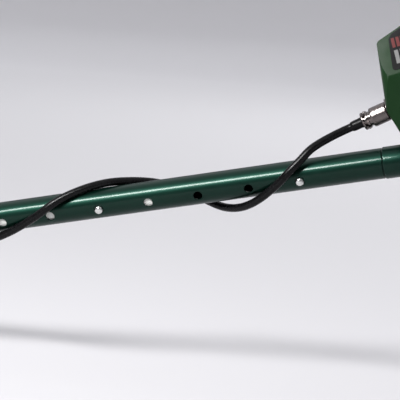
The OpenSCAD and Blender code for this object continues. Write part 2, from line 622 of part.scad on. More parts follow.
module meter_needle() color("#c22f22") at_panel(0, meter_z - 9) rotate([needle_throw / 2, 0, 0]) {
    rod_x(1.2, -1.4, 0.8);
    block(-0.4, 0.1, -0.35, 0.35, 0, 17);
    block(-0.4, 0.1, -0.9, 0.9, -2.4, 0);
}
module meter_window() color("#cfe0e6", 0.35) at_panel(0, meter_z)
    block(2.6, 3.8, -16.95, 16.95, -11.95, 11.95);
// Two potentiometers, the rocker's housing and the lever's threaded bushing
module panel_controls() color("#8f9296") {
    for (y = [-15, 15]) at_panel(y, -8) difference() {
        union() {
            rod_x(8, -12, -panel_t - 0.05);
            rod_x(4, -3, 3);
            rod_x(5.6, 0.52, 2.2);
        }
        rod_x(3.06, -9, 5);
    }
    at_panel(-13, -33) difference() {
        union() {
            block(-11, 1, -6.85, 6.85, -9.85, 9.85);
            block(0.52, 1.7, -7.8, 7.8, -11, 11);
        }
        block(-9.5, 3, -6, 6, -9.2, 9.2);
    }
    at_panel(13, -33) difference() {
        union() {
            rod_x(3.6, -9, 3);
            rod_x(5.2, 0.52, 2.3);
            rod_x(6, -9, -panel_t - 0.05);
        }
        rod_x(2.95, -5, 5);
    }
}
module control_knob() difference() {
    union() {
        turned_x([[0, 3], [10, 3], [10, 5], [8.8, 6], [8.4, 15], [7.4, 16], [0, 16]]);
        block(15, 16.6, -0.7, 0.7, 1.5, 7.2);
    }
    for (a = [15 : 30 : 345]) rotate([a, 0, 0]) translate([0, 9.3, 0]) rod_x(1.1, 6.5, 17);
}
module knob_and_shaft() {
    control_knob();
    rod_x(3, -8, 4);
}
module sensitivity_knob() color("#18191a") at_panel(-15, -8) knob_and_shaft();
module threshold_knob() color("#18191a") at_panel(15, -8) knob_and_shaft();
// The rocker turns about an axis along Y, just inside the panel, and rests tilted
module power_rocker() color("#a3241c") at_panel(-13, -33) translate([rocker_axis_x, 0, 0])
    rotate([0, -rocker_throw / 2, 0]) difference() {
        intersection() {
            rod_y(10.8, -5.6, 5.6);
            block(1.8, 12, -7, 7, -8.1, 8.1);
        }
        translate([16.2, 0, 0]) rod_y(8, -7, 7);
    }
module mode_lever() color("#c4c6c8") at_panel(13, -33) translate([lever_axis_x, 0, 0])
    rotate([0, -lever_throw / 2, 0]) {
        rod_y(1, -2.62, 2.62);
        turned_x(concat([for (a = [-90 : 18 : 54]) 2.6 * [cos(a), sin(a)]],
            [[1.5, 4], [2.4, 13], [1.6, 14.6], [0, 14.8]]));
    }

// ---------- plug and cable ----------
module coil_socket() color("#b4b6ba") at_plug() {
    difference() {
        union() {
            rod_x(6, -3, 12);
            turned_x([[0, -3.6], [8.6, -3.6], [8.6, -1.9], [0, -1.9]]);
            rod_x(8, box_wall + 1.2, box_wall + 3.2);
            rod_x(4.9, -7.4, -3);
        }
        rod_x(4, -8, -5);
    }
}
module plug_ring() color("#c8c9cc") at_plug() turned_x([[5.6, -4], [6.7, -4], [plug_r, -4.6], [plug_r, -15.8],
    [6.6, -16.6], [5.6, -16.6]]);
module plug_body() color("#9fa1a5") at_plug() {
    tube_x(5.5, cable_r + 0.02, -18.7, -8);
    difference() {
        turned_x([[cable_r + 0.02, -23.6], [6.3, -23.6], [6.6, -23], [6.6, -22.2], [4.6, -22],
            [4.6, -20.3], [6.4, -20.1], [6.4, -18.7], [cable_r + 0.02, -18.7]]);
        for (side = [-1, 1]) translate([-21.1, 0, side * 5.4]) rod_y(1.2, -10, 10);
    }
    for (side = [-1, 1]) translate([-21.1, 0, side * 5.2]) rod_y(1, -6, 6);
}
module heat_shrink() color("#0d0d0e") at_plug() turned_x([[cable_r + 0.15, -32.6], [3.5, -32.6], [3.8, -31.4],
    [3.9, -23.65], [cable_r + 0.15, -23.65]]);
module cable_upper() color("#101012") at_pivot() cable_tube(upper_line, [0, 0, 1]);
module cable_lower() color("#101012") at_pivot() cable_tube(lower_line, [0, 1, 0]);

coil_top_shell();
coil_bottom_shell();
coil_skid_plate();
transmit_winding();
receive_winding();
coil_gland();
pivot_bolt();
friction_washers();
pivot_nut();
rod_end();
lower_rod();
lower_spring_clip();
lower_button();
cable_strap();
middle_tube();
middle_bushing();
upper_tube();
upper_spring_clip();
upper_button();
tube_end_cap();
foam_grip();
arm_cuff();
cuff_pad();
cuff_saddle();
cuff_stand();
stand_pads();
cuff_bolts();
cuff_nuts();
box_shell();
panel_gasket();
control_panel();
panel_overlay();
panel_screws();
side_labels();
box_saddle();
clamp_straps();
clamp_bolts();
circuit_board();
board_parts();
batteries();
battery_tray();
battery_door();
speaker();
speaker_grille();
headphone_socket();
meter_case();
meter_dial();
meter_needle();
meter_window();
panel_controls();
sensitivity_knob();
threshold_knob();
power_rocker();
mode_lever();
coil_socket();
plug_ring();
plug_body();
heat_shrink();
cable_upper();
cable_lower();
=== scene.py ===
import json
import math

import bmesh
import bpy
from mathutils import Matrix, Vector


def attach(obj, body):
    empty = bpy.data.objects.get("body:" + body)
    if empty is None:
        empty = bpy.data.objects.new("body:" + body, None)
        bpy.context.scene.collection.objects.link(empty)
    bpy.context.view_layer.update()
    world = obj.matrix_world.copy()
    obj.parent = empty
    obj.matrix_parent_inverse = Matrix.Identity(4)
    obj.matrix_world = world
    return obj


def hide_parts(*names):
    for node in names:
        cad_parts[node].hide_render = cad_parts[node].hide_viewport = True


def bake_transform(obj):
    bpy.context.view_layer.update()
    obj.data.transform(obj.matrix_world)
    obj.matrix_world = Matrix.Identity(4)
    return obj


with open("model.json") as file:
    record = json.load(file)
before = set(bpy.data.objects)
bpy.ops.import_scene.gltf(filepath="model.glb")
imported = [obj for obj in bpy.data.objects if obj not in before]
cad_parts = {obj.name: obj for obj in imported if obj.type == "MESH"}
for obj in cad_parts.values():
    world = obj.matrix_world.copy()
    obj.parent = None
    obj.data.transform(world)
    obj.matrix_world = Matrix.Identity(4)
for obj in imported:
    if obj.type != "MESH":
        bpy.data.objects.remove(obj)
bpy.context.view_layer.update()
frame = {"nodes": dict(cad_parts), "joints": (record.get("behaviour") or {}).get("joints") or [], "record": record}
joints = {j["name"]: j for j in frame["joints"]}
body_of = {n: b for b, names in frame["record"]["behaviour"]["bodies"].items() for n in names}
MM = 0.001


def slope_of(joint):
    """How far a joint's axis slopes up from the floor."""
    axis = joints[joint]["axis"]
    return math.atan2(axis[2], axis[0])


# ---------- driving sizes, in metres, as the frame has them ----------
STEM_ANGLE = slope_of("rod_slide")
PIVOT = Vector(joints["coil_tilt"]["pos_m"])
ROD_REACH = 400 * MM              # from the pivot to the lower button
HOLE_PITCH = 38.1 * MM
TUBE_R = 11.1 * MM
BORE_R = 9.9 * MM
NECK_R = 9.8 * MM
NECK_BORE_R = 8.6 * MM
ROD_R = 9.5 * MM
ROD_BORE_R = 7.5 * MM
HOLE_R = 3.3 * MM
BUTTON_HOLE_R = 3.2 * MM
MIDDLE_ENDS = (-215 * MM, 213 * MM)
ROD_ENDS = (-374 * MM, 44 * MM)
NECK_TIP = 123 * MM
COLLAR_R = 11.6 * MM
COLLAR_END = 238 * MM
BUTTON_TURN = math.radians(22)    # the snap buttons and their holes, below the stem's side
BEND_S = 385 * MM
BEND_R = 45 * MM
GRIP_LEN = 110 * MM
GRIP_ANGLE = math.radians(-50)
REAR_LEN = 262 * MM
FOAM_R = 16.5 * MM
CABLE_R = 3 * MM
STRAP_S = -318 * MM
CUFF_AT = 206 * MM
CUFF_R = 46 * MM
CUFF_LEN = 90 * MM
CUFF_WALL = 3 * MM
SADDLE_RISE = 5 * MM              # from the tube's top to the cuff's underside
CREASE_S = 224 * MM               # the crease in the box's front, along the stem and away from it
CREASE_N = 61.2 * MM
CREASE_TILT = math.radians(7.1)
BOX_HALF_WIDTH = 38 * MM

# ---------- frames: local X along the part, Y as in the shared frame, Z away from the stem ----------


def tilted(origin, angle):
    """A frame at origin whose local X slopes up by angle in the XZ plane."""
    c, s = math.cos(angle), math.sin(angle)
    return Matrix(((c, 0, -s, origin[0]), (0, 1, 0, origin[1]), (s, 0, c, origin[2]), (0, 0, 0, 1)))


def joint_frame(joint):
    """A frame at a joint, with local X along its axis."""
    return tilted(joints[joint]["pos_m"], slope_of(joint))


def turned_x(angle):
    """A turn about local X."""
    return Matrix.Rotation(angle, 4, "X")


QUARTER_Z = Matrix.Rotation(math.pi / 2, 4, "Z")

STEM = tilted(PIVOT, STEM_ANGLE) @ Matrix.Translation((ROD_REACH, 0, 0))


def at_stem(s, y=0, n=0):
    """The point at s along the stem, y to the side and n away from it."""
    return STEM @ Vector((s, y, n))


def bend_frame(start, turned, side):
    """The frame after turning by an angle about a centre BEND_R to one side of the start frame."""
    centre = start @ Vector((0, 0, side * BEND_R))
    a = math.asin(start[2][0]) + side * turned
    out = tilted(centre, a)
    return tilted(out @ Vector((0, 0, -side * BEND_R)), a)


BEND_START = STEM @ Matrix.Translation((BEND_S, 0, 0))
BEND_DOWN = STEM_ANGLE - GRIP_ANGLE
GRIP = bend_frame(BEND_START, BEND_DOWN, -1)
GRIP_END = GRIP @ Matrix.Translation((GRIP_LEN, 0, 0))
REAR = bend_frame(GRIP_END, -GRIP_ANGLE, 1)
PANEL = joint_frame("sensitivity_turn") @ Matrix.Translation((-5 * MM, 15 * MM, 8 * MM))
PLUG = joint_frame("plug_ring_turn") @ Matrix.Translation((10 * MM, 0, 0))
BOX = tilted(at_stem(CREASE_S, 0, CREASE_N), STEM_ANGLE + CREASE_TILT)

BUILD_LENGTHS = {
    "first bend": BEND_S,
    "grip": BEND_S + BEND_R * BEND_DOWN,
    "second bend": BEND_S + BEND_R * BEND_DOWN + GRIP_LEN,
    "rear": BEND_S + BEND_R * BEND_DOWN + GRIP_LEN + BEND_R * -GRIP_ANGLE,
}
TUBE_END = BUILD_LENGTHS["rear"] + REAR_LEN


def along_handle(s):
    """The frame of the stem's centreline at length s, round both bends of the handle."""
    if s <= BUILD_LENGTHS["first bend"]:
        return STEM @ Matrix.Translation((s, 0, 0))
    if s <= BUILD_LENGTHS["grip"]:
        return bend_frame(BEND_START, (s - BUILD_LENGTHS["first bend"]) / BEND_R, -1)
    if s <= BUILD_LENGTHS["second bend"]:
        return GRIP @ Matrix.Translation((s - BUILD_LENGTHS["grip"], 0, 0))
    if s <= BUILD_LENGTHS["rear"]:
        return bend_frame(GRIP_END, (s - BUILD_LENGTHS["second bend"]) / BEND_R, 1)
    return REAR @ Matrix.Translation((s - BUILD_LENGTHS["rear"], 0, 0))


# ---------- making pieces ----------


def piece(name, mesh, body, look, replaces=(), sharp=40):
    """Links a mesh as a piece that rides on a body, shaded smooth up to the sharp angle."""
    mesh.materials.clear()
    mesh.materials.append(look)
    mesh.shade_smooth()
    mesh.set_sharp_from_angle(angle=math.radians(sharp))
    obj = bpy.data.objects.new(name, mesh)
    bpy.context.scene.collection.objects.link(obj)
    if body:
        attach(obj, body)
    if replaces:
        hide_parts(*replaces)
    return obj


def mesh_from(name, verts, faces, merge=1e-7):
    """A closed mesh from points and faces, with its normals out and doubled points joined."""
    mesh = bpy.data.meshes.new(name)
    mesh.from_pydata([tuple(v) for v in verts], [], faces)
    bm = bmesh.new()
    bm.from_mesh(mesh)
    bmesh.ops.remove_doubles(bm, verts=bm.verts, dist=merge)
    bmesh.ops.recalc_face_normals(bm, faces=bm.faces)
    bm.to_mesh(mesh)
    bm.free()
    return mesh


def joined(name, meshes):
    """One mesh that holds several."""
    bm = bmesh.new()
    for m in meshes:
        bm.from_mesh(m)
    mesh = bpy.data.meshes.new(name)
    bm.to_mesh(mesh)
    bm.free()
    return mesh


def rounded_line(points, radius, steps=3, closed=False):
    """Points of a line with an arc at each corner, no larger than its edges allow."""
    out = []
    n = len(points)
    for i in range(n):
        p = Vector(points[i]).to_2d()
        if not closed and i in (0, n - 1):
            out.append(tuple(p))
            continue
        a, b = Vector(points[i - 1]).to_2d() - p, Vector(points[(i + 1) % n]).to_2d() - p
        if a.length < 1e-9 or b.length < 1e-9:
            out.append(tuple(p))
            continue
        half = a.angle(b) / 2
        if half > math.radians(85):
            out.append(tuple(p))
            continue
        cut = min(radius / math.tan(half), 0.45 * a.length, 0.45 * b.length)
        start, end = p + a.normalized() * cut, p + b.normalized() * cut
        for k in range(steps + 1):
            t = k / steps
            out.append(tuple(start * (1 - t) ** 2 + p * 2 * t * (1 - t) + end * t * t))
    return out


def in_mm(profile):
    """A profile given in mm, in metres."""
    return [(x * MM, r * MM) for x, r in profile]


def revolved(name, profile, at, around=64, radius_round=0.3 * MM, ribs=None, closed=False):
    """[along, radius] points turned about local X. ribs(angle, along, radius) may change the radius."""
    line = rounded_line(profile, radius_round, closed=closed) if radius_round else profile
    verts = []
    for x, r in line:
        for k in range(around):
            a = 2 * math.pi * k / around
            rr = ribs(a, x, r) if ribs else r
            verts.append(at @ Vector((x, rr * math.cos(a), rr * math.sin(a))))
    faces = []
    rows = len(line)
    for i in range(rows if closed else rows - 1):
        j = (i + 1) % rows
        for k in range(around):
            m = (k + 1) % around
            faces.append((i * around + k, i * around + m, j * around + m, j * around + k))
    return mesh_from(name, verts, faces)


def swept(name, line, radius, around=20):
    """A round bar along a line of points, closed at both ends."""
    verts, faces = [], []
    side = None
    count = len(line)
    for i, p in enumerate(line):
        ahead = (line[min(i + 1, count - 1)] - line[max(i - 1, 0)]).normalized()
        side = ahead.orthogonal() if side is None else side - ahead * side.dot(ahead)
        side.normalize()
        other = ahead.cross(side)
        for k in range(around):
            a = 2 * math.pi * k / around
            verts.append(p + radius * (math.cos(a) * side + math.sin(a) * other))
    for i in range(count - 1):
        for k in range(around):
            m = (k + 1) % around
            faces.append((i * around + k, i * around + m, (i + 1) * around + m, (i + 1) * around + k))
    faces.append(tuple(range(around)))
    faces.append(tuple((count - 1) * around + k for k in range(around)))
    return mesh_from(name, verts, faces)


def drilled_tube(name, at, stations, outer, inner, holes=(), hole_r=HOLE_R, around=64, half=4):
    """A tube along at(s), with radii outer(s) and inner(s). Each hole is (s, quarter turns from -Y)."""
    reach = half * 2 * math.pi / around * TUBE_R
    lines = set(round(s, 7) for s in stations)
    patches = []
    for s, quarter in holes:
        rows = [round(s + reach * j / half, 7) for j in range(-half, half + 1)]
        lines = set(v for v in lines if not rows[0] < v < rows[-1]) | set(rows)
        patches.append((s, quarter * around // 4, rows))
    lines = sorted(lines)
    row_of = {v: i for i, v in enumerate(lines)}
    verts, faces = [], []

    def on(s, angle, r):
        verts.append(at(s) @ Vector((0, -r * math.cos(angle), r * math.sin(angle))))
        return len(verts) - 1

    step = 2 * math.pi / around
    skins = [[[on(s, k * step, radius(s)) for k in range(around)] for s in lines]
             for radius in (outer, inner)]
    open_cells = set()
    for s, k0, rows in patches:
        first = row_of[rows[0]]
        for i in range(2 * half):
            for k in range(-half, half):
                open_cells.add((first + i, (k0 + k) % around))
    for skin in skins:
        for i in range(len(lines) - 1):
            for k in range(around):
                if (i, k) not in open_cells:
                    m = (k + 1) % around
                    faces.append((skin[i][k], skin[i][m], skin[i + 1][m], skin[i + 1][k]))
    for end in (0, len(lines) - 1):
        for k in range(around):
            m = (k + 1) % around
            faces.append((skins[0][end][k], skins[0][end][m], skins[1][end][m], skins[1][end][k]))
    for s, k0, rows in patches:
        first = row_of[rows[0]]
        walk = [(i, -half) for i in range(0, 2 * half)] + [(2 * half, k) for k in range(-half, half)]
        walk += [(i, half) for i in range(2 * half, 0, -1)] + [(0, k) for k in range(half, -half, -1)]
        middle = k0 * step
        ro, ri = outer(s), inner(s)

        def ring(r, size, mix=1.0, edge_r=None):
            loop = []
            for i, k in walk:
                u, w = rows[i] - s, k * step
                v = (edge_r or r) * math.sin(w)
                t = math.atan2(v / ro, u / reach * math.sin(half * step))
                cu, cv = size * math.cos(t), size * math.sin(t)
                u, v = cu * mix + u * (1 - mix), cv * mix + v * (1 - mix)
                loop.append(on(s + u, middle + math.asin(max(-1, min(1, v / r))), r))
            return loop

        lip = 0.22 * MM
        loops = [[skins[0][first + i][(k0 + k) % around] for i, k in walk],
                 ring(ro, hole_r + lip, 0.6), ring(ro, hole_r + lip),
                 ring(ro - 0.3 * lip, hole_r + 0.3 * lip), ring(ro - lip, hole_r),
                 ring(ri + 0.1 * MM, hole_r), ring(ri, hole_r + 0.1 * MM),
                 [skins[1][first + i][(k0 + k) % around] for i, k in walk]]
        for a, b in zip(loops, loops[1:]):
            for i in range(len(walk)):
                j = (i + 1) % len(walk)
                faces.append((a[i], a[j], b[j], b[i]))
    return mesh_from(name, verts, faces)


EDGE_ANGLE = 35                   # in degrees: sharper edges of a CAD node are rounded


def refined(node, look, bevel, cuts=0, bend=None):
    """The CAD node's own shape with rounded edges, shown in its place; cuts divide its long edges."""
    source = frame["nodes"][node]
    bm = bmesh.new()
    bm.from_mesh(source.data)
    bmesh.ops.remove_doubles(bm, verts=bm.verts, dist=2e-6)
    bmesh.ops.dissolve_limit(bm, angle_limit=math.radians(0.6), verts=bm.verts, edges=bm.edges)
    if cuts:
        long = [e for e in bm.edges if e.calc_length() > 20 * MM]
        bmesh.ops.subdivide_edges(bm, edges=long, cuts=cuts, use_grid_fill=True)
    mesh = bpy.data.meshes.new(node + "_finished")
    bm.to_mesh(mesh)
    bm.free()
    if mesh.attributes.get("custom_normal"):
        mesh.attributes.remove(mesh.attributes["custom_normal"])
    obj = piece(node + "_finished", mesh, None, look, sharp=EDGE_ANGLE)
    if bevel:
        cut = obj.modifiers.new("edges", "BEVEL")
        cut.width = bevel
        cut.segments = 2
        cut.limit_method = "ANGLE"
        cut.angle_limit = math.radians(EDGE_ANGLE)
        cut.use_clamp_overlap = True
        cut.harden_normals = False
    weigh = obj.modifiers.new("normals", "WEIGHTED_NORMAL")
    weigh.keep_sharp = True
    weigh.weight = 80
    bpy.context.view_layer.objects.active = obj
    for m in list(obj.modifiers):
        with bpy.context.temp_override(object=obj, active_object=obj, selected_objects=[obj]):
            bpy.ops.object.modifier_apply(modifier=m.name)
    if bend:
        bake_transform(obj)
    else:
        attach(obj, body_of[node])
    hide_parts(node)
    return obj


# ---------- materials ----------


class Look:
    """A procedural material in the making: object coordinates feed its textures."""

    def __init__(self, name, colour, rough, metal=0.0, **sockets):
        self.mat = bpy.data.materials.new(name)
        self.mat.use_nodes = True
        self.nodes, self.links = self.mat.node_tree.nodes, self.mat.node_tree.links
        self.shader = self.nodes["Principled BSDF"]
        self.shader.inputs["Base Color"].default_value = (*colour, 1)
        self.shader.inputs["Roughness"].default_value = rough
        self.shader.inputs["Metallic"].default_value = metal
        for key, value in sockets.items():
            self.shader.inputs[key.replace("_", " ")].default_value = value
        self.coords = self.nodes.new("ShaderNodeTexCoord").outputs["Object"]
        self.height = None

    def turned(self, angle=(0, 0, 0), stretch=(1, 1, 1)):
        """Object coordinates turned and stretched, for grain that runs one way."""
        node = self.nodes.new("ShaderNodeMapping")
        node.vector_type = "TEXTURE"
        node.inputs["Rotation"].default_value = angle
        node.inputs["Scale"].default_value = stretch
        self.links.new(self.coords, node.inputs["Vector"])
        return node.outputs["Vector"]

    def noise(self, scale, detail=2, coords=None):
        node = self.nodes.new("ShaderNodeTexNoise")
        node.inputs["Scale"].default_value = scale
        node.inputs["Detail"].default_value = detail
        self.links.new(coords or self.coords, node.inputs["Vector"])
        return node.outputs["Fac"]

    def cells(self, scale):
        """Distance from the middles of small cells, as in foam."""
        node = self.nodes.new("ShaderNodeTexVoronoi")
        node.inputs["Scale"].default_value = scale
        self.links.new(self.coords, node.inputs["Vector"])
        return node.outputs["Distance"]

    def waves(self, scale, direction="X", coords=None, distortion=0.0):
        node = self.nodes.new("ShaderNodeTexWave")
        node.bands_direction = direction
        node.inputs["Scale"].default_value = scale
        node.inputs["Distortion"].default_value = distortion
        self.links.new(coords or self.coords, node.inputs["Vector"])
        return node.outputs["Fac"]

    def spread(self, value, low, high, to_low=0.0, to_high=1.0):
        """A value mapped from low...high to to_low...to_high."""
        node = self.nodes.new("ShaderNodeMapRange")
        for key, number in zip(("From Min", "From Max", "To Min", "To Max"), (low, high, to_low, to_high)):
            node.inputs[key].default_value = number
        self.links.new(value, node.inputs["Value"])
        return node.outputs["Result"]

    def math(self, kind, a, b):
        node = self.nodes.new("ShaderNodeMath")
        node.operation = kind
        for socket, value in zip(node.inputs, (a, b)):
            if isinstance(value, (int, float)):
                socket.default_value = value
            else:
                self.links.new(value, socket)
        return node.outputs["Value"]

    def colours(self, fac, stops):
        """Colour by a ramp of (position, colour)."""
        node = self.nodes.new("ShaderNodeValToRGB")
        ramp = node.color_ramp
        while len(ramp.elements) < len(stops):
            ramp.elements.new(0.5)
        for element, (position, colour) in zip(ramp.elements, stops):
            element.position = position
            element.color = (*colour, 1)
        self.links.new(fac, node.inputs["Fac"])
        self.links.new(node.outputs["Color"], self.shader.inputs["Base Color"])
        return self

    def roughness(self, value):
        self.links.new(value, self.shader.inputs["Roughness"])
        return self

    def bump(self, height, depth, strength=1.0):
        """Adds a relief of depth metres on top of any before it."""
        node = self.nodes.new("ShaderNodeBump")
        node.inputs["Distance"].default_value = depth
        node.inputs["Strength"].default_value = strength
        self.links.new(height, node.inputs["Height"])
        if self.height:
            self.links.new(self.height, node.inputs["Normal"])
        self.height = node.outputs["Normal"]
        self.links.new(self.height, self.shader.inputs["Normal"])
        return self


def shades(colour, spread):
    """A darker and a lighter version of a colour."""
    return tuple(c * (1 - spread) for c in colour), tuple(min(1, c * (1 + spread)) for c in colour)


def moulded(name, colour, rough=0.45, grain=1500, depth=0.00004, spread=0.12, gloss=0.3):
    """Injection-moulded plastic: fine spark-eroded grain, faint flow shading and rubbed patches."""
    look = Look(name, colour, rough, Specular_IOR_Level=gloss)
    low, high = shades(colour, spread)
    look.colours(look.noise(22, 4), [(0.3, low), (0.7, high)])
    look.roughness(look.spread(look.noise(60, 5), 0.3, 0.7, rough - 0.07, rough + 0.09))
    look.bump(look.noise(grain, 3), depth)
    look.bump(look.noise(90, 2), depth * 1.5, 0.4)
    return look.mat


def anodised(name, colour, angle):
    """Drawn aluminium tube, dyed and anodised: faint draw lines along it under a hard clear skin."""
    look = Look(name, colour, 0.4, 0.8, Specular_IOR_Level=0.1, Coat_Weight=0.26, Coat_Roughness=0.15)
    drawn = look.turned((0, -angle, 0), (14, 1, 1))
    low, high = shades(colour, 0.16)
    look.colours(look.noise(18, 4), [(0.25, low), (0.75, high)])
    look.roughness(look.spread(look.noise(1400, 3, drawn), 0.3, 0.7, 0.36, 0.44))
    look.bump(look.noise(1600, 2, drawn), 0.0000015, 0.5)
    look.bump(look.noise(25, 2), 0.000006, 0.2)
    return look.mat


def metal(name, colour, rough, grain=2500, depth=0.000005, stretch=(1, 1, 1)):
    """Plated or turned metal: fine tool marks and slightly uneven polish."""
    look = Look(name, colour, rough, 1.0)
    low, high = shades(colour, 0.07)
    look.colours(look.noise(160, 4), [(0.3, low), (0.7, high)])
    look.roughness(look.spread(look.noise(420, 4), 0.3, 0.7, max(0.03, rough - 0.06), rough + 0.08))
    look.bump(look.noise(grain, 2, look.turned((0, 0, 0), stretch)), depth)
    return look.mat


def rubbery(name, colour, rough=0.6, grain=1100, depth=0.00003):
    """Matt rubber or coated paper with a fine tooth."""
    look = Look(name, colour, rough)
    low, high = shades(colour, 0.2)
    look.colours(look.noise(70, 4), [(0.3, low), (0.7, high)])
    look.roughness(look.spread(look.noise(240, 4), 0.3, 0.7, rough - 0.1, rough + 0.12))
    look.bump(look.noise(grain, 4), depth)
    return look.mat


def cable_jacket():
    """Satin extruded jacket with faint lengthwise scuffs."""
    look = Look("cable_jacket", (0.003, 0.003, 0.0033), 0.27, Specular_IOR_Level=0.13)
    look.colours(look.noise(120, 5), [(0.3, (0.002, 0.002, 0.0022)), (0.72, (0.0045, 0.0045, 0.005))])
    look.roughness(look.spread(look.noise(380, 5), 0.3, 0.7, 0.2, 0.32))
    look.bump(look.noise(900, 3), 0.000012)
    look.bump(look.noise(130, 2), 0.00003, 0.4)
    return look.mat


def closed_cell_foam():
    """Grip foam: a pitted skin of small closed cells, with painted shade in the pits."""
    look = Look("closed_cell_foam", (0.022, 0.022, 0.023), 0.86, Sheen_Weight=0.15)
    # The cells' pits are painted darker than the skin round them, as painted shade.
    look.colours(look.cells(1500), [(0.1, (0.011, 0.011, 0.011)), (0.6, (0.032, 0.032, 0.033))])
    look.bump(look.cells(1500), 0.0002, 0.8)
    look.bump(look.noise(160, 3), 0.0003, 0.5)
    return look.mat


def woven(name, colour, pitch, angle=0.0, depth=0.00018):
    """Plain weave of yarns pitch apart, with painted shade where the yarns dip under each other."""
    look = Look(name, colour, 0.88, Sheen_Weight=0.3, Sheen_Roughness=0.5)
    grid = look.turned((0, -angle, 0))
    scale = 2 * math.pi / pitch / 20
    across = look.waves(scale, "X", grid, 0.25)
    down = look.waves(scale, "Y", grid, 0.25)
    up = look.waves(scale, "Z", grid, 0.25)
    weave = look.math("MULTIPLY", across, look.math("MAXIMUM", down, up))
    # The yarns are painted darker where they dip, as painted shade between them.
    low, high = shades(colour, 0.45)
    look.colours(weave, [(0.05, low), (0.8, high)])
    look.bump(weave, depth)
    look.bump(look.noise(2500, 2), depth * 0.4, 0.6)
    return look.mat


def glossy(name, colour, rough=0.14, coat=0.5):
    """Lacquered or polished plastic with faint handling marks."""
    look = Look(name, colour, rough, Coat_Weight=coat, Coat_Roughness=0.06)
    low, high = shades(colour, 0.08)
    look.colours(look.noise(30, 3), [(0.3, low), (0.7, high)])
    look.roughness(look.spread(look.noise(300, 5), 0.35, 0.75, rough, rough + 0.1))
    look.bump(look.noise(140, 2), 0.00001, 0.35)
    return look.mat


def clear_plastic():
    """The meter's window, clear with faint smears."""
    look = Look("clear_window", (0.93, 0.96, 0.97), 0.04, Transmission_Weight=1.0, IOR=1.49)
    look.roughness(look.spread(look.noise(500, 4), 0.4, 0.8, 0.03, 0.1))
    look.bump(look.noise(60, 2), 0.000004, 0.3)
    return look.mat


def wound_copper():
    """Enamelled wire, layer on layer."""
    look = Look("wound_copper", (0.46, 0.17, 0.06), 0.3, 0.9, Coat_Weight=0.4)
    look.colours(look.noise(900, 2), [(0.3, (0.32, 0.11, 0.035)), (0.7, (0.55, 0.22, 0.08))])
    look.bump(look.waves(130, "Z"), 0.0002)
    return look.mat


GREEN_TUBE = anodised("anodised_tube", (0.003, 0.020, 0.0133), STEM_ANGLE)
BOX_GREEN = moulded("box_green", (0.005, 0.023, 0.006), 0.45, 1300, 0.00005, 0.12, 0.12)
PANEL_GREEN = moulded("panel_green", (0.005, 0.021, 0.006), 0.45, 1300, 0.00005, 0.12, 0.12)
COIL_BLACK = moulded("coil_black", (0.020, 0.021, 0.023), 0.5, 1100, 0.00006)
SKID_BLACK = moulded("skid_black", (0.013, 0.014, 0.015), 0.58, 900, 0.00005)
NYLON_BLACK = moulded("black_nylon", (0.017, 0.0175, 0.0185), 0.43, 1600, 0.00004)
CUFF_BLACK = moulded("cuff_black", (0.021, 0.022, 0.023), 0.48, 900, 0.00007)
ROD_GREY = moulded("composite_rod", (0.62, 0.63, 0.60), 0.38, 1800, 0.00002, 0.05)
RUBBER = rubbery("rubber_black", (0.014, 0.014, 0.014))
SLEEVE = moulded("heat_shrink_sleeve", (0.003, 0.003, 0.0032), 0.36, 1500, 0.00001, 0.2, 0.12)
CABLE = cable_jacket()
FOAM = closed_cell_foam()
PAD = woven("soft_pad", (0.020, 0.020, 0.022), 0.0013)
STRAP = woven("strap_black", (0.018, 0.018, 0.020), 0.0009, STEM_ANGLE, 0.00012)
NICKEL = metal("plug_nickel", (0.15, 0.132, 0.127), 0.2)
BUTTON = metal("button_metal", (0.66, 0.66, 0.65), 0.22, 3000)
SPRING = metal("spring_steel", (0.42, 0.43, 0.44), 0.28, 2500, 0.000006, (8, 1, 1))
ZINC = metal("bolt_zinc", (0.56, 0.57, 0.58), 0.3)
CONTROL_METAL = metal("control_metal", (0.42, 0.43, 0.44), 0.27)
CHROME = metal("lever_chrome", (0.72, 0.72, 0.73), 0.1)
FILM = moulded("overlay_black", (0.004, 0.004, 0.0045), 0.42, 2500, 0.000004, 0.1, 0.05)
METER_BLACK = glossy("meter_black", (0.012, 0.012, 0.013), 0.12)
ROCKER = glossy("rocker_red", (0.42, 0.022, 0.016), 0.16)
KNOB = moulded("knob_black", (0.018, 0.0185, 0.019), 0.36, 2200, 0.00003)
DIAL = moulded("dial_cream", (0.74, 0.72, 0.62), 0.6, 2500, 0.00001, 0.04)
NEEDLE = glossy("needle_red", (0.55, 0.03, 0.02), 0.3, 0.2)
WINDOW = clear_plastic()
BOARD = glossy("board_green", (0.015, 0.13, 0.05), 0.3)
CHIPS = moulded("chips_black", (0.02, 0.02, 0.021), 0.4, 2500, 0.00002)
CAN = glossy("battery_wrap", (0.25, 0.26, 0.27), 0.25)
TRAY = moulded("tray_black", (0.02, 0.02, 0.02))
CONE = rubbery("speaker_cone", (0.05, 0.05, 0.052), 0.7)
COPPER = wound_copper()
PRINT_WHITE = moulded("print_white", (0.15, 0.15, 0.148), 0.5, 2500, 0.00001, 0.06, 0.1)
PRINT_RED = moulded("print_red", (0.10, 0.020, 0.020), 0.5, 2500, 0.00001, 0.1, 0.1)

# ---------- camera and light ----------
TARGET = Vector((-0.068948, 0.003376, 0.138519))
VIEW_AZIMUTH = math.radians(11.813)
VIEW_ELEVATION = math.radians(7.079)
VIEW_ROLL = math.radians(3.845)
VIEW_DISTANCE = 1.275884


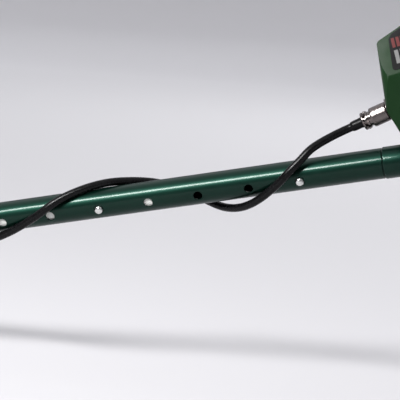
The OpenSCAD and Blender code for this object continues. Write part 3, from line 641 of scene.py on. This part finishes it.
def stand_camera():
    """The camera at the photograph's viewing angle."""
    a, e = VIEW_AZIMUTH, VIEW_ELEVATION
    away = Vector((math.sin(a) * math.cos(e), -math.cos(a) * math.cos(e), math.sin(e)))
    data = bpy.data.cameras.new("camera")
    data.lens = 155.3
    data.sensor_width = 36
    data.clip_start = 0.05
    data.clip_end = 60
    camera = bpy.data.objects.new("camera", data)
    camera.location = TARGET + VIEW_DISTANCE * away
    turn = away.to_track_quat("Z", "Y").to_matrix() @ Matrix.Rotation(VIEW_ROLL, 3, "Z")
    camera.rotation_euler = turn.to_euler()
    bpy.context.scene.collection.objects.link(camera)
    bpy.context.scene.camera = camera


def soft_light(name, at, toward, size, watts, colour=(1, 1, 1)):
    """A rectangular light that faces a point."""
    data = bpy.data.lights.new(name, "AREA")
    data.shape = "RECTANGLE"
    data.size, data.size_y = size
    data.energy = watts
    data.color = colour
    light = bpy.data.objects.new(name, data)
    light.location = at
    light.rotation_euler = (Vector(at) - Vector(toward)).to_track_quat("Z", "X").to_euler()
    bpy.context.scene.collection.objects.link(light)


def stage_floor():
    """A wide round floor that curves up far from the object, with painted shade in front of it and painted light
    far behind it.
    """
    flat_r, curve_r, wall_top, around, steps = 9, 4, 9, 72, 12
    line = [(flat_r - 0.5, 0)]
    for k in range(steps + 1):
        a = k / steps * math.pi / 2
        line.append((flat_r + curve_r * math.sin(a), curve_r - curve_r * math.cos(a)))
    line.append((flat_r + curve_r, wall_top))
    turns = [2 * math.pi * k / around for k in range(around)]
    verts = [(r * math.cos(t), r * math.sin(t), z) for r, z in line for t in turns]
    faces = [tuple(range(around))]
    for i in range(len(line) - 1):
        low, high = around * i, around * (i + 1)
        for k in range(around):
            m = (k + 1) % around
            faces.append((low + k, high + k, high + m, low + m))
    mesh = bpy.data.meshes.new("floor")
    mesh.from_pydata(verts, [], faces)
    look = Look("floor_paper", (0.8, 0.79, 0.81), 0.9)
    across = look.nodes.new("ShaderNodeSeparateXYZ")
    look.links.new(look.coords, across.inputs[0])
    # Painted shade and light: the floor is coloured dark in front of the object and light far behind it, in place
    # of shade and lamp light.
    depth = look.spread(across.outputs["Y"], -1.2, 4.0)
    near, under, far = (0.36, 0.355, 0.365), (0.51, 0.502, 0.518), (0.92, 0.91, 0.93)
    look.colours(depth, [(0.0, near), (0.24, under), (1.0, far)])
    look.bump(look.noise(600, 2), 0.00005, 0.4)
    mesh.materials.append(look.mat)
    mesh.shade_smooth()
    floor = bpy.data.objects.new("floor", mesh)
    bpy.context.scene.collection.objects.link(floor)


def light_room():
    """Even light from the room, dim on the camera's side and bright behind the object."""
    world = bpy.data.worlds.new("studio")
    world.use_nodes = True
    nodes, links = world.node_tree.nodes, world.node_tree.links
    ray = nodes.new("ShaderNodeTexCoord")
    parts = nodes.new("ShaderNodeSeparateXYZ")
    behind = nodes.new("ShaderNodeMapRange")
    ramp = nodes.new("ShaderNodeValToRGB")
    behind.inputs["From Min"].default_value = -1.0
    behind.inputs["From Max"].default_value = 1.0
    stops = [(0.05, (0.10, 0.10, 0.105, 1)), (0.62, (0.93, 0.94, 0.97, 1))]
    for element, (position, colour) in zip(ramp.color_ramp.elements, stops):
        element.position = position
        element.color = colour
    links.new(ray.outputs["Generated"], parts.inputs[0])
    links.new(parts.outputs["Y"], behind.inputs["Value"])
    links.new(behind.outputs["Result"], ramp.inputs["Fac"])
    links.new(ramp.outputs["Color"], nodes["Background"].inputs["Color"])
    nodes["Background"].inputs["Strength"].default_value = 1.2
    bpy.context.scene.world = world


stand_camera()
stage_floor()
light_room()
STRIP_AT = at_stem(0.05)
# Toward the strip, placed so that the stem mirrors it as one narrow line
STRIP_WAY = Vector((-0.3694, -0.7123, 0.5965))
OBJECT_MIDDLE = (0, 0, 0.1)
soft_light("strip", STRIP_AT + 1.4 * STRIP_WAY, STRIP_AT, (0.2, 0.7), 34)
soft_light("window", (-0.6, -2.6, 2.6), OBJECT_MIDDLE, (2.6, 1.8), 3, (1, 0.985, 0.96))
soft_light("fill", (2.6, -0.8, 1.8), OBJECT_MIDDLE, (1.8, 1.8), 6, (0.95, 0.97, 1))
soft_light("back", (0.4, 2.4, 2.2), OBJECT_MIDDLE, (2.4, 1.4), 24)
bpy.context.scene.view_settings.view_transform = "Standard"

# ---------- stem ----------


def eased_end(ends, r, cut=0.25 * MM):
    """A radius that is r along the tube and pulls in by cut at both ends."""
    def radius(s):
        near = min(abs(s - ends[0]), abs(s - ends[1]))
        return r - max(0.0, cut - near)
    return radius


def end_rows(ends, cut=0.25 * MM):
    """Where a tube needs rows of points to be eased at both ends."""
    return [ends[0], ends[0] + cut / 2, ends[0] + cut, ends[1] - cut, ends[1] - cut / 2, ends[1]]


def on_stem(s):
    """The frame at s along the stem."""
    return STEM @ Matrix.Translation((s, 0, 0))


def on_drilled(s):
    """The frame at s along the stem, turned so that the snap buttons are on its local -Y side."""
    return on_stem(s) @ turned_x(BUTTON_TURN)


def make_middle_tube():
    """The green tube with its two rows of button holes."""
    holes = [(i * HOLE_PITCH, side) for i in range(-4, 5) for side in (0, 2)]
    mesh = drilled_tube("middle_tube", on_drilled, end_rows(MIDDLE_ENDS), eased_end(MIDDLE_ENDS, TUBE_R),
                        lambda s: BORE_R, holes)
    piece("middle_tube_drilled", mesh, "frame", GREEN_TUBE, ["middle_tube"])


def make_lower_rod():
    """The grey rod that slides in the middle tube."""
    mesh = drilled_tube("lower_rod", on_drilled, end_rows(ROD_ENDS), eased_end(ROD_ENDS, ROD_R),
                        lambda s: ROD_BORE_R, [(0.0, 0)], BUTTON_HOLE_R)
    piece("lower_rod_drilled", mesh, "lower_rod", ROD_GREY, ["lower_rod"])


def make_upper_tube():
    """The bent handle tube: its neck in the middle tube, its collar, and both bends."""
    top = MIDDLE_ENDS[1]
    shoulder = (top + 1.5 * MM, top + 6 * MM)
    collar = [(top + 0.55 * MM, NECK_R), (top + 0.6 * MM, COLLAR_R - 0.45 * MM),
              (top + 0.8 * MM, COLLAR_R - 0.2 * MM), (top + 1.1 * MM, COLLAR_R - 0.06 * MM),
              (top + 1.5 * MM, COLLAR_R), (COLLAR_END - 1.2 * MM, COLLAR_R),
              (COLLAR_END - 0.7 * MM, COLLAR_R - 0.1 * MM), (COLLAR_END - 0.2 * MM, COLLAR_R - 0.4 * MM),
              (COLLAR_END, TUBE_R)]

    def blend_up(s, low, high):
        t = min(1.0, max(0.0, (s - shoulder[0]) / (shoulder[1] - shoulder[0])))
        return low + (high - low) * t * t * (3 - 2 * t)

    def outer(s):
        r = NECK_R if s < collar[0][0] else TUBE_R
        for (s0, r0), (s1, r1) in zip(collar, collar[1:]):
            if s0 <= s <= s1:
                r = r0 + (r1 - r0) * (s - s0) / (s1 - s0)
                break
        return r - max(0.0, NECK_TIP + 0.8 * MM - s) - max(0.0, s - TUBE_END + 0.2 * MM)

    stations = [NECK_TIP, NECK_TIP + 0.4 * MM, NECK_TIP + 0.8 * MM, BEND_S, TUBE_END - 0.2 * MM, TUBE_END]
    stations += [shoulder[0] + (shoulder[1] - shoulder[0]) * k / 8 for k in range(9)] + [s for s, r in collar]
    stations += [BUILD_LENGTHS["first bend"] + BEND_R * BEND_DOWN * k / 26 for k in range(27)]
    stations += [BUILD_LENGTHS["second bend"] + BEND_R * -GRIP_ANGLE * k / 22 for k in range(23)]
    mesh = drilled_tube("upper_tube", lambda s: along_handle(s) @ turned_x(BUTTON_TURN), stations, outer,
                        lambda s: blend_up(s, NECK_BORE_R, BORE_R), [(4 * HOLE_PITCH, 0)], BUTTON_HOLE_R)
    piece("upper_tube_bent", mesh, "frame", GREEN_TUBE, ["upper_tube"])


def make_button(name, s, flange, body):
    """A domed pin that stands out of the tube's side, with its flange inside."""
    pin_r, flange_r, dome_from, dome_rise = 3.1, 3.8, 11.4, 2.2
    profile = [(flange - 1.1, 0), (flange - 1.1, flange_r), (flange, flange_r), (flange, pin_r)]
    profile.append((11.0, pin_r))
    for degrees in range(9, 91, 9):
        a = math.radians(degrees)
        profile.append((dome_from + dome_rise * math.sin(a), max(0.0, pin_r * math.cos(a))))
    mesh = revolved(name, in_mm(profile), on_drilled(s) @ QUARTER_Z.inverted(), 40, 0.1 * MM)
    piece(name + "_dome", mesh, body, BUTTON, [name])


def make_bushing():
    """The plastic bush at the low end of the middle tube, with grip ribs round it."""
    ribs_from, ribs_pitch, rib_rows, outer_r = -5.4, 0.8, 19, 13.0
    profile = [(-8, 9.58), (-8, 12.0), (-6.5, outer_r)]
    profile += [(ribs_from + ribs_pitch * k, outer_r) for k in range(rib_rows)]
    profile += [(10, outer_r), (12, 12.3), (12, 11.12), (0, 11.12), (0, 9.58)]

    def grips(a, x, r):
        if r > 12.5 * MM and -5 * MM < x < 9 * MM:
            return r - 0.35 * MM * (0.5 + 0.5 * math.cos(24 * a))
        return r

    mesh = revolved("bushing", in_mm(profile), on_stem(MIDDLE_ENDS[0]), 144, 0, grips, True)
    piece("middle_bushing_ribbed", mesh, "frame", NYLON_BLACK, ["middle_bushing"], 35)


make_middle_tube()
make_lower_rod()
make_upper_tube()
make_button("lower_button", 0.0, 6.3, "lower_button")
make_button("upper_button", 4 * HOLE_PITCH, 7.4, "upper_button")
make_bushing()

# ---------- coil cable and its plug ----------
# The route round the stem, as part.scad has it: [s, angle, distance from the axis] in mm and degrees
ROUTE_UPPER = [
    (200.5, 90, 30.8), (196, 90, 29.5), (191, 90, 28.1), (181, 82, 25.3), (165, 62, 20.9), (154.6, 38, 17),
    (144, 8, 15.5), (133, -24, 14.5), (120, -55, 16), (105, -86, 17.5), (89, -118, 18), (74, -151, 17.2),
    (57, -187, 15.4), (38, -220, 14.7), (20, -247, 14.3), (5, -274, 14.3), (-11, -301, 14.4),
    (-26, -326, 14.8), (-40, -354, 15.5), (-55, -382, 14.5), (-71, -409, 15), (-89, -436, 16),
    (-107, -468, 16)]
STRAP_TURN = -900
STRAP_RADIUS = ROD_R / MM + CABLE_R / MM + 0.5
STRAP_IN = [(STRAP_S / MM + s, STRAP_TURN, STRAP_RADIUS) for s in (6, 0)]
STRAP_OUT = [(STRAP_S / MM - s, STRAP_TURN, STRAP_RADIUS) for s in (0, 7, 14)]
# From the strap to the coil's gland, from the point of the floor under the pivot: [x, y, z] in mm
ROUTE_LOWER = [(57, 16, 55), (47, 25, 53), (40, 32, 46), (38, 34, 38), (38, 34, 32), (38, 34, 26)]
WOUND = 12


def wound_turns():
    """The even turns from the last point down to the strap, clear of the bushing on the way."""
    s0, a0, _ = ROUTE_UPPER[-1]
    low = MIDDLE_ENDS[0] / MM
    out = []
    for i in range(1, WOUND + 1):
        s = s0 + (STRAP_S / MM + 12 - s0) * i / WOUND
        if s > low + 25:
            surface = TUBE_R / MM + 1.2
        elif s > low - 18:
            surface = TUBE_R / MM + 2.7
        else:
            surface = ROD_R / MM + 0.5
        out.append((s, a0 + (STRAP_TURN - a0) * i / WOUND, surface + CABLE_R / MM))
    return out


def catmull(points, steps):
    """A smooth line through points."""
    out = []
    n = len(points)
    for i in range(n - 1):
        a, b = points[max(i - 1, 0)], points[i]
        c, d = points[i + 1], points[min(i + 2, n - 1)]
        for k in range(steps):
            t = k / steps
            out.append(0.5 * (2 * b + (c - a) * t + (2 * a - 5 * b + 4 * c - d) * t * t
                              + (3 * b - a - 3 * c + d) * t ** 3))
    return out + [points[-1]]


def round_stem(q):
    """The point at a place [s, angle, distance] round the stem."""
    s, a, r = q[0] * MM, math.radians(q[1]), q[2] * MM
    return at_stem(s, -r * math.cos(a), r * math.sin(a))


def line_length(line):
    """How long a line of points is."""
    return sum((b - a).length for a, b in zip(line, line[1:]))


def make_cable():
    """Both lengths of the coil cable, swept along their routes."""
    stem_route = [Vector(q) for q in ROUTE_UPPER + wound_turns() + STRAP_IN]
    upper = [round_stem(q) for q in catmull(stem_route, 8)]
    start = Vector((PIVOT.x, 0, 0))
    lower_points = [round_stem(q) for q in STRAP_OUT] + [start + Vector(q) * MM for q in ROUTE_LOWER]
    lower = catmull(lower_points, 12)
    top = piece("cable_upper_jacket", swept("cable_upper", upper, CABLE_R), None, CABLE,
                ["cable_upper"])
    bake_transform(top)
    low = piece("cable_lower_jacket", swept("cable_lower", lower, CABLE_R), None, CABLE,
                ["cable_lower"])
    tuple(lower[6])
    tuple(lower[-14])
    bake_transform(low)
    return line_length(upper), line_length(lower)


def make_plug():
    """The round plug: knurled ring, barrel, cable clamp with its two screws, and sleeve."""

    def knurl(a, x, r):
        if r > 6.9 * MM and -15.4 * MM < x < -5.6 * MM:
            return r - 0.05 * MM * (0.5 + 0.5 * math.cos(60 * a)) ** 2
        return r

    ring = [(-4, 5.6), (-4, 6.7), (-4.6, 7.1), (-5.4, 7.1)]
    ring += [(-5.7 - 0.2 * k, 7.1) for k in range(3)] + [(-9, 7.1), (-12, 7.1)]
    ring += [(-15.0 - 0.2 * k, 7.1) for k in range(3)] + [(-15.8, 7.1), (-16.6, 6.6), (-16.6, 5.6)]
    mesh = revolved("plug_ring", in_mm(ring), PLUG, 360, 0, knurl, True)
    piece("plug_ring_knurled", mesh, "plug_ring", NICKEL, ["plug_ring"], 45)

    barrel = [(-8, 3.05), (-8, 5.5), (-18.7, 5.5), (-18.7, 3.05)]
    collar = [(-18.7, 3.05), (-18.7, 6.4), (-20.1, 6.4), (-20.3, 4.6), (-22, 4.6), (-22.2, 6.6), (-23, 6.6),
              (-23.6, 6.3), (-23.6, 3.05)]

    def notched(a, x, r):
        side = abs(math.cos(a))
        return r - 1.1 * MM * (side > 0.985) if r > 6 * MM else r

    parts = [revolved("barrel", in_mm(barrel), PLUG, 48, 0.15 * MM, None, True),
             revolved("collar", in_mm(collar), PLUG, 96, 0.12 * MM, notched, True)]
    screw = [(-6, 0), (-6, 1.0), (4.4, 1.0), (4.4, 1.65), (5.9, 1.65), (6.1, 1.3), (6.1, 0)]
    for side in (-1, 1):
        at = PLUG @ Matrix.Translation((-21.1 * MM, 0, side * 5.2 * MM)) @ QUARTER_Z
        parts.append(revolved("screw", in_mm(screw), at, 20, 0.1 * MM))
    piece("plug_body_clamp", joined("plug_body", parts), "frame", NICKEL, ["plug_body"])

    sleeve = [(-32.6, 3.02), (-32.6, 3.35), (-32.2, 3.45), (-31, 3.75), (-29, 3.8), (-27, 3.75),
              (-24.4, 3.85), (-23.65, 3.75), (-23.65, 3.02)]
    mesh = revolved("heat_shrink", in_mm(sleeve), PLUG, 40, 0.12 * MM, None, True)
    piece("heat_shrink_sleeve", mesh, "frame", SLEEVE, ["heat_shrink"])


cable_lengths = make_cable()
make_plug()

# ---------- soft parts ----------


def shell_grid(name, across, along, point):
    """A closed pad: point(u, v, side) gives its back (side 0) and its face (side 1), u and v from 0 to 1."""
    verts = [point(i / across, j / along, side)
             for side in (0, 1) for j in range(along + 1) for i in range(across + 1)]
    row, layer = across + 1, (across + 1) * (along + 1)
    faces = []
    for side in (0, 1):
        for j in range(along):
            for i in range(across):
                a = side * layer + j * row + i
                faces.append((a, a + 1, a + row + 1, a + row))
    rim = [(i, 0) for i in range(across)] + [(across, j) for j in range(along)]
    rim += [(i, along) for i in range(across, 0, -1)] + [(0, j) for j in range(along, 0, -1)]
    for k, (i, j) in enumerate(rim):
        m, n = rim[(k + 1) % len(rim)]
        a, b = j * row + i, n * row + m
        faces.append((a, b, layer + b, layer + a))
    return mesh_from(name, verts, faces, 1e-6)


def make_cuff_pad():
    """The fabric pad in the arm cuff: crowned, and pulled down at its edge, two channels and two bolts."""
    length, thick = CUFF_LEN - 10 * MM, 2.9 * MM
    bowl = REAR @ Matrix.Translation((CUFF_AT, 0, TUBE_R + SADDLE_RISE + CUFF_WALL + CUFF_R))
    reach = math.radians(59)
    bolts = [(-20 * MM, 5.7 * MM), (20 * MM, 5.7 * MM)]

    def point(u, v, side):
        edge = min(u, 1 - u, (v if v < 0.5 else 1 - v) * 0.8)
        pull = 1 - min(1, edge / 0.045)
        x = (v - 0.5) * length
        angle = (u - 0.5) * 2 * reach
        r = CUFF_R - 0.1 * MM
        if side:
            crown = thick * (0.36 + 0.64 * math.sqrt(max(0.0, 1 - pull ** 2)))
            for seam in (0.3, 0.7):
                crown -= 1.5 * MM * math.exp(-((u - seam) * reach * 2 * CUFF_R / (1.3 * MM)) ** 2)
            ripple = 0.25 * MM * (0.5 + 0.5 * math.sin(v * 37 + 3 * u))
            crown -= ripple * math.exp(-((edge - 0.06) / 0.05) ** 2)
            for bx, br in bolts:
                off = math.hypot(x - bx, angle * CUFF_R)
                crown *= 1 - 0.92 * math.exp(-max(0.0, off - br) / (1.1 * MM))
            r -= max(0.3 * MM, crown)
        return bowl @ Vector((x, r * math.sin(angle), -r * math.cos(angle)))

    mesh = shell_grid("cuff_pad", 96, 84, point)
    pad = piece("cuff_pad_sewn", mesh, "frame", PAD, ["cuff_pad"], 60)


def make_foam_grip():
    """The foam sleeve on the grip, eased at its ends and a little uneven where it is held."""
    rows, start, end_r = 60, 3 * MM, 3.2 * MM
    length = GRIP_LEN - 2 * start
    profile = [(start, TUBE_R + 0.25 * MM)]
    for k in range(rows + 1):
        t = k / rows
        near = min(1.0, min(t, 1 - t) * length / end_r)
        ease = end_r * (1 - math.sqrt(max(0.0, 1 - (1 - near) ** 2)))
        profile.append((start + t * length, FOAM_R - 0.1 * MM - ease - 0.18 * MM * math.sin(t * 9) ** 2))
    profile.append((start + length, TUBE_R + 0.25 * MM))

    def held(a, x, r):
        return r - 0.12 * MM * (1 + math.sin(3 * a + x * 70)) if r > 14 * MM else r

    mesh = revolved("foam_grip", profile, GRIP, 72, 0, held, True)
    piece("foam_grip_sleeve", mesh, "frame", FOAM, ["foam_grip"], 50)


make_cuff_pad()
make_foam_grip()

# ---------- printing and scales ----------
PRINT_DEPTH = 0.06 * MM
LABEL_LEAN = math.atan(19 / 60)
SIDE_FACE = BOX @ Matrix.Translation((0, -BOX_HALF_WIDTH, 0)) @ Matrix.Rotation(-LABEL_LEAN, 4, "X")


def printed(name, shapes, at, body, look):
    """Flat marks, each from four (x, z) corners in mm, raised a little toward local -Y."""
    verts, faces = [], []
    for corners in shapes:
        base = len(verts)
        for y in (0, -PRINT_DEPTH):
            verts += [at @ Vector((x * MM, y, z * MM)) for x, z in corners]
        for face in ((0, 3, 2, 1), (4, 5, 6, 7), (0, 1, 5, 4), (1, 2, 6, 5), (2, 3, 7, 6), (3, 0, 4, 7)):
            faces.append(tuple(base + i for i in face))
    piece(name, mesh_from(name, verts, faces), body, look)


def upright(x0, x1, z0, z1):
    """The corners of an upright bar."""
    return [(x0, z0), (x1, z0), (x1, z1), (x0, z1)]


def tick(x, z, wide, tall, turn=0):
    """The corners of a bar about a middle, half as wide and tall as said, turned clockwise."""
    c, s = math.cos(turn), math.sin(turn)
    around = ((-wide, -tall), (wide, -tall), (wide, tall), (-wide, tall))
    return [(x + u * c + v * s, z - u * s + v * c) for u, v in around]


def make_side_print():
    """A row of red bars over a row of white bars on the side labels, in place of any lettering."""
    for mirror, side in ((1, "left"), (-1, "right")):
        flip = Matrix.Scale(mirror, 4, (0, 1, 0))
        at = flip @ SIDE_FACE @ Matrix.Translation((0, -0.31 * MM, 0))
        red = [upright(13.4 + 3.3 * i, 15.6 + 3.3 * i, 18.9, 25.9) for i in range(14)]
        white = [upright(13.7 + 4.1 * i, 16.4 + 4.1 * i, 7.0, 16.8) for i in range(12)]
        printed("side_print_red_" + side, red, at, "frame", PRINT_RED)
        printed("side_print_white_" + side, white, at, "frame", PRINT_WHITE)


def panel_marks():
    """Scale ticks round both knobs, and a bar over each switch."""
    knob_n, scale_r, half_turn, steps = -8, 12.2, 140, 10
    marks = []
    for y in (-15, 15):
        for k in range(steps + 1):
            a = math.radians(-half_turn + 2 * half_turn / steps * k)
            tall = 1.1 if k % 5 == 0 else 0.7
            marks.append(tick(y + scale_r * math.sin(a), knob_n + scale_r * math.cos(a), 0.22, tall, a))
    marks += [tick(y, -20.4, 4.5, 0.5) for y in (-13, 13)]
    face = PANEL @ Matrix.Translation((0.5 * MM, 0, 0)) @ QUARTER_Z
    printed("panel_scales", marks, face, "frame", PRINT_WHITE)


def meter_marks():
    """The meter's scale: ticks that stand on an arc of short dashes."""
    half_sweep, hub = 38, -1.2
    marks = []
    for k in range(21):
        a = math.radians(-half_sweep + 3.8 * k)
        tall = 1.3 if k % 5 == 0 else 0.7
        marks.append(tick((18.6 + tall) * math.sin(a), (18.6 + tall) * math.cos(a) + hub, 0.12, tall, a))
    for k in range(half_sweep):
        a = math.radians(-half_sweep + 2 * k + 1)
        marks.append(tick(18.3 * math.sin(a), 18.3 * math.cos(a) + hub, 0.34, 0.12, a))
    dial = PANEL @ Matrix.Translation((-2.2 * MM, 0, 13 * MM)) @ QUARTER_Z
    printed("meter_scale", marks, dial, "frame", FILM)


def knob_pointers():
    """The white line let into each knob's pointer."""
    for y, body in ((-15, "sensitivity_knob"), (15, "threshold_knob")):
        at = PANEL @ Matrix.Translation((16.6 * MM, y * MM, -8 * MM)) @ QUARTER_Z
        printed(body + "_line", [upright(-0.4, 0.4, 2.0, 7.0)], at, body, PRINT_WHITE)


make_side_print()
panel_marks()
meter_marks()
knob_pointers()

# ---------- the rest of the frame ----------
# Each CAD node's look, and how far its edges are rounded in mm
FINISHES = {
    "coil_top_shell": (COIL_BLACK, 0.5), "coil_bottom_shell": (COIL_BLACK, 0.4),
    "coil_skid_plate": (SKID_BLACK, 0.5), "transmit_winding": (COPPER, 0), "receive_winding": (COPPER, 0),
    "coil_gland": (NYLON_BLACK, 0.3), "pivot_bolt": (NYLON_BLACK, 0.3), "pivot_nut": (NYLON_BLACK, 0.6),
    "friction_washers": (RUBBER, 0.2), "rod_end": (NYLON_BLACK, 0.6), "cable_strap": (STRAP, 0.3),
    "tube_end_cap": (NYLON_BLACK, 0.4), "arm_cuff": (CUFF_BLACK, 0.8), "cuff_saddle": (NYLON_BLACK, 0.6),
    "cuff_stand": (NYLON_BLACK, 0.8), "stand_pads": (RUBBER, 0.4), "cuff_bolts": (ZINC, 0.2),
    "cuff_nuts": (ZINC, 0.2), "box_shell": (BOX_GREEN, 0.3), "panel_gasket": (RUBBER, 0),
    "control_panel": (PANEL_GREEN, 0.4), "panel_overlay": (FILM, 0.1), "panel_screws": (ZINC, 0.15),
    "side_labels": (FILM, 0.1), "box_saddle": (NYLON_BLACK, 0.6), "clamp_straps": (NYLON_BLACK, 0.6),
    "clamp_bolts": (ZINC, 0.2), "circuit_board": (BOARD, 0), "board_parts": (CHIPS, 0.2),
    "batteries": (CAN, 0.6), "battery_tray": (TRAY, 0.2), "battery_door": (PANEL_GREEN, 0.3),
    "speaker": (CONE, 0), "speaker_grille": (NYLON_BLACK, 0.3), "headphone_socket": (NYLON_BLACK, 0.3),
    "meter_case": (METER_BLACK, 0.5), "meter_dial": (DIAL, 0), "meter_needle": (NEEDLE, 0),
    "meter_window": (WINDOW, 0.2), "panel_controls": (CONTROL_METAL, 0.15),
    "sensitivity_knob": (KNOB, 0.25), "threshold_knob": (KNOB, 0.25), "power_rocker": (ROCKER, 0.3),
    "mode_lever": (CHROME, 0.15), "coil_socket": (NICKEL, 0.2),
}


def bent_clip(node, s, toward, near, far, body, button):
    """A V spring in the stem, finished in place with its long edges divided; its near leaf would bend with the
    snap button and its far leaf stay.

    The bend's weight, a plane that is 0 at the near leaf's root and at the far leaf's end and 1 at the button, is
    worked out here but not applied."""
    root_x, root_y, end_x = 34, 3.2, 5
    along = 1 / (root_x * (1 + (near - root_y) / (far + root_y)))
    across = -(root_x + end_x) * along / (far + root_y)
    root = Vector((-root_x * toward, -root_y, 0))
    tip = root + Vector((along * toward, across, 0)) / (along ** 2 + across ** 2)
    at = on_drilled(s)
    refined(node, SPRING, 0, cuts=12, bend=(body, button, at @ (root * MM), at @ (tip * MM)))


for node, (look, bevel) in FINISHES.items():
    refined(node, look, bevel * MM)
bent_clip("lower_spring_clip", 0, 1, 5.1, 5.4, "lower_rod", "lower_button")
bent_clip("upper_spring_clip", 4 * HOLE_PITCH, -1, 6.2, 6.4, "frame", "upper_button")
